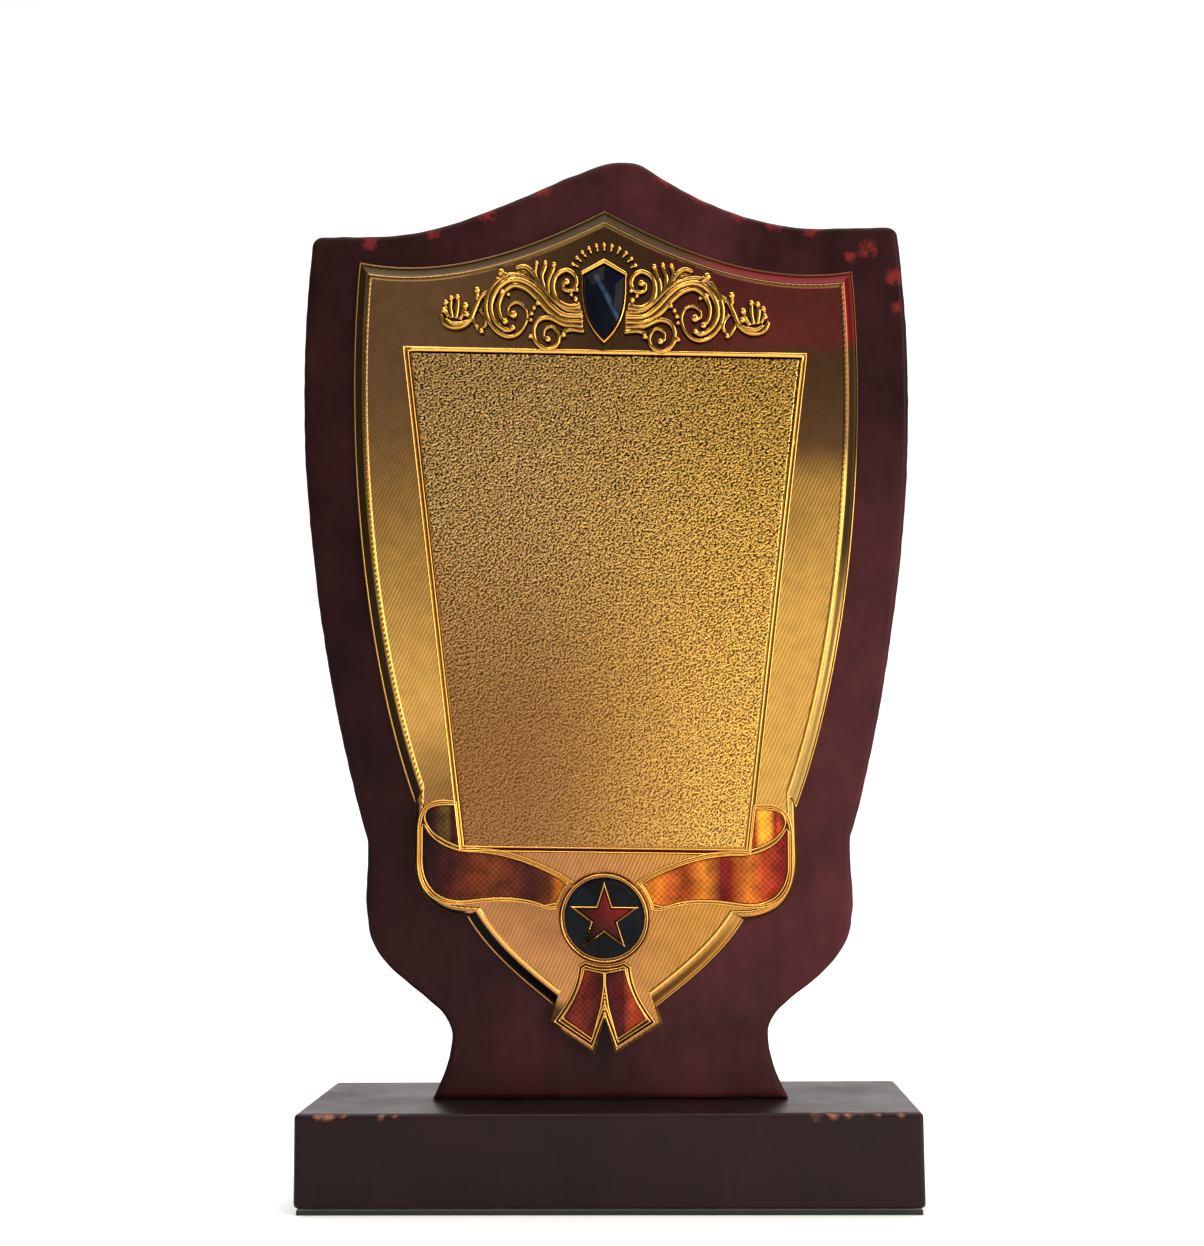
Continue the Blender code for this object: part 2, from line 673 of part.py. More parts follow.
def build_panel(gilt, sand):
    """The lettering panel: a raised border and the grained plate inside it."""
    outer = panel_outline()
    inner = inset(outer, PANEL_BORDER)
    flat_piece("panel_border", [outer, inner], TRIM_BACK, TRIM_THICKNESS, gilt)
    flat_piece("text_plate", [inset(inner, SEAT_GAP)], TRIM_BACK, PLATE_THICKNESS, sand)


def build_ribbon(gilt, enamel):
    """Both halves of the ribbon: frame, front band and turned-back fold."""
    for name, side in (("right", 1), ("left", -1)):
        pockets = [band_outline(side), fold_outline(side)]
        flat_piece(f"ribbon_frame_{name}", [ribbon_outline(side), *pockets], TRIM_BACK,
                   TRIM_THICKNESS, gilt)
        for kind, pocket in zip(("band", "fold"), pockets):
            flat_piece(f"ribbon_{kind}_{name}", [inset(pocket, SEAT_GAP)], TRIM_BACK,
                       INLAY_THICKNESS, enamel)


def build_tails(gilt, enamel):
    """The forked tails under the medallion."""
    pocket = tail_pocket()
    flat_piece("tail_frame", [tail_outline(), pocket], TRIM_BACK, TRIM_THICKNESS, gilt)
    flat_piece("tail_enamel", [inset(pocket, SEAT_GAP)], TRIM_BACK, INLAY_THICKNESS, enamel)


def build_medallion(gilt, black, enamel):
    """The round medallion: ring, black disc, and a star with an enamelled middle."""
    centre_x, centre_z = on_sheet(MEDALLION_CENTRE)
    outer, inner = MEDALLION_RADIUS, MEDALLION_RADIUS - MEDALLION_RING_WIDTH
    crest = (outer + inner) / 2
    top, rounding = MEDALLION_RING_HEIGHT, MEDALLION_RING_WIDTH / 3
    ring = turned("medallion_ring",
                  [(inner, 0.0), (inner, top - rounding), (crest, top), (outer, top - rounding),
                   (outer, 0.0), (inner, 0.0)], gilt, steps=48)
    disc = turned("medallion_disc",
                  [(0.0, DISC_THICKNESS), (DISC_RADIUS - rounding, DISC_THICKNESS),
                   (DISC_RADIUS, DISC_THICKNESS - rounding), (DISC_RADIUS, 0.0), (0.0, 0.0)],
                  black, steps=48)
    for obj in (ring, disc):
        obj.rotation_euler.x = math.pi / 2
        obj.location = (centre_x, TRIM_BACK, centre_z)
    star = star_outline()
    flat_piece("star_outline", [star, inset(star, STAR_LINE)], STAR_BACK, STAR_THICKNESS, gilt)
    flat_piece("star_enamel", [inset(star, STAR_LINE + SEAT_GAP)], STAR_BACK,
               STAR_THICKNESS - 0.2 * MM, enamel)


def build_gem(gilt, glass):
    """The dark stone and its gilt frame."""
    edge = gem_outline()
    flat_piece("gem_bezel", [bezel_outline(), edge], TRIM_BACK, BEZEL_THICKNESS, gilt)
    girdle = TRIM_BACK - GEM_THICKNESS + GEM_FACET
    shape = crowned_surface(inset(edge, SEAT_GAP), girdle,
                            ((0.1 * MM, 0.0), (GEM_FACET, GEM_FACET)))
    rim = [edge for edge in shape.edges if edge.is_boundary]
    sides = bmesh.ops.extrude_edge_only(shape, edges=rim)["geom"]
    for vert in (item for item in sides if isinstance(item, bmesh.types.BMVert)):
        vert.co.y = TRIM_BACK
    back = [edge for edge in shape.edges if edge.is_boundary]
    bmesh.ops.holes_fill(shape, edges=back)
    bmesh.ops.recalc_face_normals(shape, faces=shape.faces)
    add_object("gem_stone", mesh_from(shape, "gem_stone"), PARTS, glass)


def build_crest(gilt):
    """Eleven drop beads on a thin arc over the gem."""
    centre = on_crest(CREST_CENTRE)
    depth = TRIM_BACK - BEAD_BREADTH / 2
    beads, angles = [], []
    for index in range(BEAD_COUNT):
        angle = math.pi / 2 + (index - (BEAD_COUNT - 1) / 2) * BEAD_PITCH - FITTING_TURN_HEAD
        x = centre[0] + BEAD_RING_RADIUS * math.cos(angle)
        z = centre[1] + BEAD_RING_RADIUS * math.sin(angle)
        beads.append(ball(x, depth, z, (BEAD_BREADTH, BEAD_BREADTH, BEAD_LENGTH), angle))
        angles.append(math.degrees(angle))
    strip = arc(centre, BEAD_RING_RADIUS, angles[0], angles[-1], 24)
    fused("crest_beads", [*beads, sweep(strip, 0.32 * MM, depth)], gilt, 0.28 * MM, 0.45)


def scroll_strands():
    """Centre lines of the right-hand scroll as (drawn points, radius share, end taper)."""
    stem = path((5.4, 188.6), ((9.0, 187.6), (12.0, 190.6), (14.4, 193.6)), steps=6)
    big = whorl((20.4, 189.0), 7.4, 1.2, 142, 1.75, 34)
    lower_stem = path((5.2, 187.0), ((8.0, 186.2), (9.4, 187.4), (11.8, 188.0)), steps=5)
    lower = whorl((13.2, 184.2), 4.0, 0.8, 105, 1.3, 20)
    upper_stem = path((5.4, 190.8), ((7.0, 190.0), (8.0, 190.2), (9.4, 190.6)), steps=4)
    upper = whorl((8.6, 195.4), 4.8, 0.7, 275, -1.25, 20)
    leaf = path((13.2, 192.6), ((14.6, 196.0), (16.0, 198.8), (19.4, 199.0)), steps=6)
    outer = path((25.4, 194.6), ((28.2, 193.0), (28.4, 188.0), (30.0, 186.8)),
                 ((31.6, 185.2), (34.2, 185.2), (34.4, 188.0)), steps=6)
    sprig = path((12.2, 192.0), ((13.6, 195.0), (13.9, 197.6), (13.2, 200.2)), steps=5)
    base = path((4.9, 185.6), ((6.6, 185.2), (7.6, 185.6), (9.2, 184.2)), steps=4)
    return ((stem, 1.0, 1.0), (big, 1.0, 0.8), (lower_stem, 1.0, 1.0), (lower, 0.9, 0.8),
            (upper_stem, 1.0, 1.0), (upper, 0.9, 0.8), (leaf, 0.9, 0.6), (outer, 0.9, 0.9),
            (sprig, 0.7, 0.7), (base, 0.8, 0.6))


def scroll_buds():
    """Round buds of the right-hand scroll as (drawn centre, diameter)."""
    return (((20.4, 189.0), 3.0), ((13.2, 184.2), 2.2), ((8.6, 195.4), 2.0), ((23.6, 196.6), 2.0),
            ((28.4, 192.2), 2.0), ((30.8, 189.0), 2.2), ((33.2, 189.6), 2.0), ((32.0, 187.2), 2.2),
            ((11.6, 199.2), 1.8), ((6.6, 191.6), 2.0))


def build_scrolls(gilt):
    """Leaf scrolls either side of the gem: strands swept along spirals and fused with buds."""
    depth = TRIM_BACK - SCROLL_RADIUS
    for name, side in (("right", 1), ("left", -1)):
        meshes = []
        for drawn, share, taper in scroll_strands():
            line = placed([(side * x, z) for x, z in drawn], on_crest)
            meshes.append(sweep(line, SCROLL_RADIUS * share, depth, taper))
        for (x, z), size in scroll_buds():
            centre = on_crest((side * x, z))
            meshes.append(ball(centre[0], depth, centre[1], (size * MM, 1.6 * MM, size * MM)))
        fused(f"scroll_{name}", meshes, gilt, SCROLL_VOXEL, 0.4)


def build_plaque():
    """Build every piece of the plaque."""
    wood = make_material("maroon paint", (0.045, 0.012, 0.014), 0.38)
    felt = make_material("dark green felt", (0.008, 0.014, 0.011), 0.95)
    steel = make_material("zinc-plated steel", (0.55, 0.55, 0.56), 0.35, 1.0)
    foam = make_material("white foam tape", (0.75, 0.75, 0.72), 0.9)
    gilt = make_material("gilt", (0.78, 0.50, 0.17), 0.24, 1.0)
    sand = make_material("grained gilt", (0.62, 0.38, 0.14), 0.42, 1.0)
    red = make_material("red enamel", (0.33, 0.05, 0.02), 0.22)
    black = make_material("black enamel", (0.006, 0.007, 0.009), 0.15)
    glass = make_material("blue-black glass", (0.006, 0.009, 0.018), 0.05)
    build_board(wood)
    build_base(wood, felt)
    build_screws(steel)
    build_tapes(foam)
    build_sheet(gilt)
    build_panel(gilt, sand)
    build_ribbon(gilt, red)
    build_tails(gilt, red)
    build_medallion(gilt, black, red)
    build_gem(gilt, glass)
    build_crest(gilt)
    build_scrolls(gilt)


clear_scene()
PARTS = new_collection("wooden plaque")
CUTTERS = new_collection("cutters")
build_plaque()
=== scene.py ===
"""Looks of a wooden shield plaque with a stamped gilt front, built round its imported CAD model.

Sizes are in millimetres until a point is placed in the frame, which is in metres. The gilt fitting
is drawn upright, as (across, up) points, and then placed as crooked as it was stuck on.
"""

import logging
import math
from abc import ABC, abstractmethod
from collections.abc import Callable, Sequence
from dataclasses import dataclass, field
from enum import Enum

import bmesh
import bpy
import numpy as np
from mathutils import Matrix, Vector, geometry, kdtree


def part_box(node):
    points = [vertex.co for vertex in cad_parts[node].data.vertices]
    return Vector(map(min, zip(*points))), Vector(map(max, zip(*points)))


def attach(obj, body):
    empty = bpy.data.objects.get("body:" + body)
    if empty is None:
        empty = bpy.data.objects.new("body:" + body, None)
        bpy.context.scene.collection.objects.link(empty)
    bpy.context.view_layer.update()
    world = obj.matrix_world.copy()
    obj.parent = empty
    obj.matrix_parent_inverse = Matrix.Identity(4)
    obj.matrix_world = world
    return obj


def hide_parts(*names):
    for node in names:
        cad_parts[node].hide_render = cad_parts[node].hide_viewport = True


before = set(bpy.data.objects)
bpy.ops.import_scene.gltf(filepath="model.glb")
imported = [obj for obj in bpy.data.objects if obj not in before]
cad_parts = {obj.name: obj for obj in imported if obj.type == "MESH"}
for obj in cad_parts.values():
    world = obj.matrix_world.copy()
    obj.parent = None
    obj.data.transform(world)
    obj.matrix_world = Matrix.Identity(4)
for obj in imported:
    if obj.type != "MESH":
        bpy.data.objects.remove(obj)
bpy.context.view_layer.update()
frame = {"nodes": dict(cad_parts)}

MM = 0.001
ROOT = "root"
LOG = logging.getLogger("plaque")

Level = float | np.ndarray
Placer = Callable[[np.ndarray, Level], np.ndarray]
Rise = Callable[[np.ndarray, np.ndarray], np.ndarray]
Point = tuple[float, float]
Thing = bpy.types.Object
Tree = bpy.types.NodeTree
Node = bpy.types.Node
Socket = bpy.types.NodeSocket

# How the fitting was stuck on, as in the CAD drawing
DRAWN_FOOT = 30.0
DRAWN_TOP = 213.3
DRAWN_MIDDLE = (DRAWN_FOOT + DRAWN_TOP) / 2
FITTING_SHIFT = -0.3
FITTING_LEAN = 0.007
FITTING_TURN_FOOT = 0.015
FITTING_TURN_HEAD = 0.038

# Centres and edges that several pieces share
MEDALLION_CENTRE = (0.0, 58.3)
MEDALLION_RADIUS = 9.7
GEM_CENTRE = (0.0, 191.5)
PANEL_TOP = 180.0
PANEL_BOTTOM = 73.2
PANEL_TOP_HALF = 42.8
PANEL_BOTTOM_HALF = 29.8
FOLD_TOP = 82.5
GAP = 0.3

# Floor of a gilt frame before its back, and how far wires and enamel are sunk in it
WIRE_FLOOR = 0.25
WIRE_SUNK = 0.1


# ---- Placing --------------------------------------------------------------------------------

def on_front(drawn: np.ndarray, level: Level) -> np.ndarray:
    """Places points drawn for the gilt fitting.

    Args:
        drawn: (across, up) points.
        level: depth of the points, more negative towards the viewer.

    Returns:
        Points in the frame.
    """
    x, z = drawn[:, 0], drawn[:, 1]
    rise = (z - DRAWN_FOOT) / (DRAWN_TOP - DRAWN_FOOT)
    turn = FITTING_TURN_FOOT + rise * (FITTING_TURN_HEAD - FITTING_TURN_FOOT)
    across = x + FITTING_SHIFT + FITTING_LEAN * (z - DRAWN_MIDDLE)
    return MM * np.column_stack((across, np.broadcast_to(level, x.shape), z - turn * x))


def on_crest(drawn: np.ndarray, level: Level) -> np.ndarray:
    """Places points drawn for the crest, which keeps its own size round the gem.

    Args:
        drawn: (across, up) points.
        level: depth of the points.

    Returns:
        Points in the frame.
    """
    middle = on_front(np.array([GEM_CENTRE]), 0.0)[0] / MM
    x, z = drawn[:, 0] - GEM_CENTRE[0], drawn[:, 1] - GEM_CENTRE[1]
    across = middle[0] + x + FITTING_LEAN * z
    up = middle[2] + z - FITTING_TURN_HEAD * x
    return MM * np.column_stack((across, np.broadcast_to(level, x.shape), up))


def on_board(drawn: np.ndarray, level: Level) -> np.ndarray:
    """Places (across, up) points straight, with the level as depth."""
    return MM * np.column_stack((drawn[:, 0], np.broadcast_to(level, drawn[:, 0].shape), drawn[:, 1]))


def on_plan(drawn: np.ndarray, level: Level) -> np.ndarray:
    """Places (across, deep) points of a plan, with the level as height."""
    return MM * np.column_stack((drawn[:, 0], drawn[:, 1], np.broadcast_to(level, drawn[:, 0].shape)))


# ---- Drawing --------------------------------------------------------------------------------

def trace(*moves: tuple, steps: int = 48) -> np.ndarray:
    """Follows straight runs and cubic curves.

    Args:
        moves: the start, then a point for each run and three points for each curve.
        steps: chords in each curve.

    Returns:
        Points along the path.
    """
    points = [np.array(moves[0], float)]
    for move in moves[1:]:
        if not isinstance(move[0], tuple):
            points.append(np.array(move, float))
            continue
        start, (first, second, end) = points[-1], np.array(move, float)
        for share in np.linspace(0.0, 1.0, steps + 1)[1:]:
            rest = 1.0 - share
            points.append(rest ** 3 * start + 3 * rest ** 2 * share * first
                          + 3 * rest * share ** 2 * second + share ** 3 * end)
    return np.array(points)


def arc(centre: Point, radius: float, start: float, end: float, steps: int = 64) -> np.ndarray:
    """Points on an arc, with its angles in degrees.

    Args:
        centre: middle of the arc.
        radius: its radius.
        start: its first angle.
        end: its last angle.
        steps: chords in it.

    Returns:
        Points along the arc.
    """
    angles = np.radians(np.linspace(start, end, steps + 1))
    return np.array(centre) + radius * np.column_stack((np.cos(angles), np.sin(angles)))


def flipped(points: np.ndarray) -> np.ndarray:
    """The same path on the other side of the middle line, run backwards."""
    return (points * (-1.0, 1.0))[::-1]


def path_length(points: np.ndarray) -> float:
    """Length of a path."""
    return float(np.linalg.norm(np.diff(points, axis=0), axis=1).sum())


def evenly(points: np.ndarray, count: int) -> np.ndarray:
    """The same path as a number of points at equal steps along it.

    Args:
        points: the path.
        count: number of points that are wanted.

    Returns:
        The points at equal steps.
    """
    lengths = np.concatenate(([0.0], np.cumsum(np.linalg.norm(np.diff(points, axis=0), axis=1))))
    along = np.linspace(0.0, lengths[-1], count)
    return np.column_stack([np.interp(along, lengths, points[:, axis]) for axis in range(2)])


def smooth(points: Sequence[Point], pitch: float) -> np.ndarray:
    """A smooth path through a few points, as Catmull-Rom spans.

    Args:
        points: points that the path goes through.
        pitch: distance between the points that are returned.

    Returns:
        Points at equal steps along the path.
    """
    knots = np.array(points, float)
    knots = np.vstack((2 * knots[0] - knots[1], knots, 2 * knots[-1] - knots[-2]))
    share = np.linspace(0.0, 1.0, 16, endpoint=False)[:, None]
    spans = []
    for before, start, end, after in zip(knots, knots[1:], knots[2:], knots[3:]):
        spans.append(0.5 * (2 * start + (end - before) * share
                            + (2 * before - 5 * start + 4 * end - after) * share ** 2
                            + (3 * start - before - 3 * end + after) * share ** 3))
    line = np.vstack(spans + [knots[-2:-1]])
    return evenly(line, max(4, round(path_length(line) / pitch)))


def sideways(points: np.ndarray, loop: bool) -> np.ndarray:
    """Unit vectors to the left of a path at each of its points, longer where it bends.

    Args:
        points: the path.
        loop: whether it closes on itself.

    Returns:
        One vector for each point.
    """
    if loop:
        runs = np.roll(points, -1, axis=0) - points
        before, after = np.roll(runs, 1, axis=0), runs
    else:
        runs = np.diff(points, axis=0)
        before, after = np.vstack((runs[:1], runs)), np.vstack((runs, runs[-1:]))
    lefts = [np.column_stack((-run[:, 1], run[:, 0])) / np.linalg.norm(run, axis=1)[:, None]
             for run in (before, after)]
    middle = lefts[0] + lefts[1]
    middle /= np.linalg.norm(middle, axis=1)[:, None]
    bend = np.clip((middle * lefts[0]).sum(axis=1), 0.6, 1.0)
    return middle / bend[:, None]


def joined(first: np.ndarray, second: np.ndarray, reach: float) -> tuple[np.ndarray, np.ndarray]:
    """Cuts two paths, or carries them on, to where they meet.

    Args:
        first: path that ends at the corner.
        second: path that starts there.
        reach: how far a path may be carried on.

    Returns:
        Both paths, sharing the corner point.
    """
    ahead = first[-1] - first[-2]
    back = second[0] - second[1]
    a = np.vstack((first, first[-1] + reach * ahead / np.linalg.norm(ahead)))
    b = np.vstack((second[0] + reach * back / np.linalg.norm(back), second))
    p, r, q, s = a[:-1], np.diff(a, axis=0), b[:-1], np.diff(b, axis=0)

    def cross(one: np.ndarray, other: np.ndarray) -> np.ndarray:
        return one[..., 0] * other[..., 1] - one[..., 1] * other[..., 0]

    between = q[None] - p[:, None]
    scale = cross(r[:, None], s[None])
    scale[scale == 0.0] = 1e-12
    t, u = cross(between, s[None]) / scale, cross(between, r[:, None]) / scale
    hits = np.argwhere((t >= 0) & (t <= 1) & (u >= 0) & (u <= 1))
    if not len(hits):
        corner = (first[-1] + second[0]) / 2
        return np.vstack((first[:-1], corner)), np.vstack((corner, second[1:]))
    i, j = hits[-1]
    corner = p[i] + t[i, j] * r[i]
    return np.vstack((a[:i + 1], corner)), np.vstack((corner, b[j + 1:]))


class Outline:
    """A closed edge made of smooth stretches that meet at corners.

    Each ring inside it has the same number of points, so rings can be joined face by face.
    """

    def __init__(self, *stretches: np.ndarray, pitch: float, shares: Sequence[float] = (),
                 like: "Outline | None" = None) -> None:
        """Draws the outline.

        Args:
            stretches: paths between corners, in order; a lone one is a loop with no corner.
            pitch: distance between points.
            shares: how much of an inset each stretch takes.
            like: an outline whose point counts are kept.
        """
        counts = like.counts if like else [1 + max(1, math.ceil(path_length(stretch) / pitch))
                                           for stretch in stretches]
        self.counts = counts
        self.stretches = [evenly(stretch, count) for stretch, count in zip(stretches, counts)]
        self.shares = list(shares) or [1.0] * len(stretches)
        whole = np.vstack([stretch[:-1] for stretch in self.stretches])
        x, z = whole[:, 0], whole[:, 1]
        self.hand = 1.0 if (x * np.roll(z, -1) - np.roll(x, -1) * z).sum() > 0 else -1.0
        runs = np.linalg.norm(np.roll(whole, -1, axis=0) - whole, axis=1)
        self.along = np.concatenate(([0.0], np.cumsum(runs)[:-1]))

    @classmethod
    def mirrored(cls, *stretches: np.ndarray, pitch: float, shares: Sequence[float] = (),
                 like: "Outline | None" = None) -> "Outline":
        """Draws an outline from its right-hand half, which starts and ends on the middle line.

        Args:
            stretches: paths between corners.
            pitch: distance between points.
            shares: how much of an inset each stretch takes.
            like: an outline whose point counts are kept.

        Returns:
            The whole outline.
        """
        both = list(stretches) + [flipped(stretch) for stretch in reversed(stretches)]
        return cls(*both, pitch=pitch, shares=list(shares) + list(reversed(shares)), like=like)

    @classmethod
    def polygon(cls, corners: Sequence[Point], pitch: float) -> "Outline":
        """Draws an outline of straight stretches between corners."""
        return cls(*[trace(start, end) for start, end in zip(corners, corners[1:] + corners[:1])],
                   pitch=pitch)

    def by_stretch(self, values: Sequence[float]) -> np.ndarray:
        """One value for each point of a ring, from one for each stretch."""
        return np.repeat(values, [count - 1 for count in self.counts])

    def ring(self, inset: float) -> np.ndarray:
        """Points of the outline moved inwards; a negative inset moves them out.

        Args:
            inset: distance from the outline.

        Returns:
            As many points as any other ring of the outline.
        """
        if len(self.stretches) == 1:
            loop = self.stretches[0][:-1]
            return loop + self.hand * inset * sideways(loop, True)
        if not inset:
            return np.vstack([stretch[:-1] for stretch in self.stretches])
        moved = [stretch + self.hand * inset * share * sideways(stretch, False)
                 for stretch, share in zip(self.stretches, self.shares)]
        for index in range(len(moved)):
            after = (index + 1) % len(moved)
            moved[index], moved[after] = joined(moved[index], moved[after], 4 * abs(inset))
        return np.vstack([evenly(path, count)[:-1] for path, count in zip(moved, self.counts)])


def inside(points: np.ndarray, ring: np.ndarray) -> np.ndarray:
    """Which of the points lie inside a ring.

    Args:
        points: points to sort.
        ring: points of the edge.

    Returns:
        True for each point that lies inside.
    """
    ends = np.roll(ring, -1, axis=0)
    found = np.zeros(len(points), bool)
    for (x0, z0), (x1, z1) in zip(ring, ends):
        spans = (z0 > points[:, 1]) != (z1 > points[:, 1])
        if z1 != z0:
            found ^= spans & (points[:, 0] < x0 + (points[:, 1] - z0) * (x1 - x0) / (z1 - z0))
    return found


def clearance(points: np.ndarray, ring: np.ndarray) -> np.ndarray:
    """Distance of each point from a ring's points.

    Args:
        points: points to measure from.
        ring: points of the edge.

    Returns:
        One distance for each point.
    """
    tree = kdtree.KDTree(len(ring))
    for index, (x, z) in enumerate(ring):
        tree.insert((x, z, 0.0), index)
    tree.balance()
    return np.array([tree.find((x, z, 0.0))[2] for x, z in points])


def ripple(points: np.ndarray, lengths: Sequence[float], seed: int) -> np.ndarray:
    """A smooth random height at each point, between about -1 and 1.

    Args:
        points: points of the drawing.
        lengths: wavelengths that are summed, in millimetres.
        seed: choice of the random directions and phases.

    Returns:
        One height for each point.
    """
    draw = np.random.default_rng(seed)
    height = np.zeros(len(points))
    for length in lengths:
        for _ in range(5):
            angle, phase = draw.uniform(0, 2 * math.pi, 2)
            across = points @ np.array((math.cos(angle), math.sin(angle)))
            height += np.sin(2 * math.pi * across / (length * draw.uniform(0.8, 1.25)) + phase)
    return height / (3.0 * len(lengths))


# ---- Mesh making ----------------------------------------------------------------------------

class Relief:
    """Collects the vertices and faces of one piece, in the drawing's millimetres."""

    def __init__(self, place: Placer = on_front) -> None:
        """Starts an empty piece that is placed in one way.

        Args:
            place: function that places drawn points in the frame.
        """
        self.place = place
        self.points: list[np.ndarray] = []
        self.faces: list[tuple[int, ...]] = []
        self.count = 0

    def put(self, drawn: np.ndarray, level: Level) -> np.ndarray:
        """Adds points and returns their indices.

        Args:
            drawn: drawn points.
            level: their depth.

        Returns:
            The index of each point in the piece.
        """
        self.points.append(self.place(drawn, level))
        self.count += len(drawn)
        return np.arange(self.count - len(drawn), self.count)

    def loft(self, rings: Sequence[np.ndarray], closed: bool = True) -> None:
        """Joins rings of indices with four-sided faces.

        Args:
            rings: rings of indices, one after another.
            closed: whether each ring closes on itself.
        """
        for first, second in zip(rings, rings[1:]):
            sides = (first, np.roll(first, -1), np.roll(second, -1), second)
            faces = list(zip(*(side.tolist() for side in sides)))
            self.faces += faces if closed else faces[:-1]

    def cap(self, ring: np.ndarray) -> None:
        """Closes a ring with one flat face."""
        self.faces.append(tuple(ring.tolist()))

    def fill(self, ring: np.ndarray, level: float, pitch: float, rise: Rise | None = None) -> None:
        """Fills a ring with triangles about one pitch across.

        Args:
            ring: drawn points of the edge.
            level: depth of the edge.
            pitch: spacing of the points inside.
            rise: height at points, from the points and their distance from the edge.
        """
        low, high = ring.min(axis=0), ring.max(axis=0)
        across, up = np.meshgrid(np.arange(low[0] + pitch / 2, high[0], pitch),
                                 np.arange(low[1] + pitch / 2, high[1], pitch * 0.87))
        across[1::2] += pitch / 2
        lattice = np.column_stack((across.ravel(), up.ravel()))
        lattice = lattice[inside(lattice, ring)]
        if len(lattice):
            lattice = lattice[clearance(lattice, ring) > 0.4 * pitch]
        corners = [Vector(point) for point in np.vstack((ring, lattice))]
        made = geometry.delaunay_2d_cdt(corners, [], [list(range(len(ring)))], 1, 1e-6)
        points = np.array([tuple(point) for point in made[0]])
        height = rise(points, clearance(points, ring)) if rise else 0.0
        indices = self.put(points, level - height)
        self.faces += [tuple(int(indices[corner]) for corner in face) for face in made[2]]

    def moulding(self, outline: Outline, section: Sequence[tuple], closed: bool = True) -> None:
        """Runs a closed section of (inset, level) pairs round an outline."""
        rings = [self.put(outline.ring(inset), level) for inset, level in section]
        self.loft(rings + rings[:1] if closed else rings)

    def wire(self, outline: Outline, inset: float, width: float, back: float, front: float) -> None:
        """Runs a half-round raised line round an outline.

        Args:
            outline: edge that the line follows.
            inset: distance of the line's outer side from that edge.
            width: the line's width.
            back: level that it stands on.
            front: level of its crest.
        """
        section = [(inset, back)]
        for angle in np.radians(np.linspace(8, 172, 7)):
            section.append((inset + width * (1 - math.cos(angle)) / 2,
                            front + width / 2 * (1 - math.sin(angle))))
        section.append((inset + width, back))
        self.moulding(outline, section)

    def plate(self, outline: Outline, back: float, profile: Sequence[Point], pitch: float,
              rise: Rise | None = None) -> None:
        """Makes a closed plate.

        Args:
            outline: its edge.
            back: level of its flat back.
            profile: (inset, level) pairs from the edge to the filled face.
            pitch: spacing of the points in the face.
            rise: height of the face at its points.
        """
        rings = [self.put(outline.ring(profile[0][0]), back)]
        rings += [self.put(outline.ring(inset), level) for inset, level in profile]
        self.cap(rings[0])
        self.loft(rings)
        self.fill(outline.ring(profile[-1][0]), profile[-1][1], pitch, rise)

    def strand(self, line: np.ndarray, widths: np.ndarray, back: float, crests: np.ndarray,
               sides: int = 10) -> None:
        """Makes a round-topped strand along a line, with its ends closed.

        Args:
            line: drawn points along its middle.
            widths: its width at each point.
            back: level of its underside.
            crests: level of its crest at each point.
            sides: points round it.
        """
        left = sideways(line, False)
        rings = []
        for angle in np.linspace(0, 2 * math.pi, sides, endpoint=False):
            middle, half = (back + crests) / 2, (back - crests) / 2
            rings.append((line + left * (widths / 2 * math.cos(angle))[:, None],
                          middle - half * math.sin(angle)))
        first = self.count
        for drawn, level in rings:
            self.put(drawn, level)
        grid = first + np.arange(sides * len(line)).reshape(sides, len(line))
        columns = [grid[:, step] for step in range(len(line))]
        self.loft(columns)
        self.cap(columns[0])
        self.cap(columns[-1])

    def bead(self, centre: Point, size: Point, back: float, front: float,
             angle: float = 0.0) -> None:
        """Makes an egg-shaped bead.

        Args:
            centre: drawn middle.
            size: width and length.
            back: level of its underside.
            front: level of its crest.
            angle: turn of its length from upright, in degrees.
        """
        turn = math.radians(angle)
        axes = np.array(((math.cos(turn), -math.sin(turn)), (math.sin(turn), math.cos(turn))))
        around = arc((0.0, 0.0), 1.0, 0, 360, 12)[:-1] * np.array(size) / 2 @ axes
        rings = []
        for rise in np.linspace(-80, 80, 9):
            level = (back + front) / 2 + (front - back) / 2 * math.sin(math.radians(rise))
            rings.append(self.put(np.array(centre) + around * math.cos(math.radians(rise)), level))
        self.loft(rings)
        self.cap(rings[0])
        self.cap(rings[-1])

    def piece(self, name: str, crease: float = 40.0, weld: float = 4e-7) -> Thing:
        """Makes the object.

        Args:
            name: name of the piece.
            crease: angle in degrees past which an edge is sharp.
            weld: distance in metres at which vertices join.

        Returns:
            The new object, in the scene.
        """
        mesh = bpy.data.meshes.new(name)
        mesh.from_pydata(np.concatenate(self.points).tolist(), [], self.faces)
        shape = bmesh.new()
        shape.from_mesh(mesh)
        bmesh.ops.remove_doubles(shape, verts=shape.verts, dist=weld)
        bmesh.ops.recalc_face_normals(shape, faces=shape.faces)
        shape.to_mesh(mesh)
        shape.free()
        mesh.shade_smooth()
        mesh.set_sharp_from_angle(angle=math.radians(crease))
        obj = bpy.data.objects.new(name, mesh)
        bpy.context.scene.collection.objects.link(obj)
        return obj


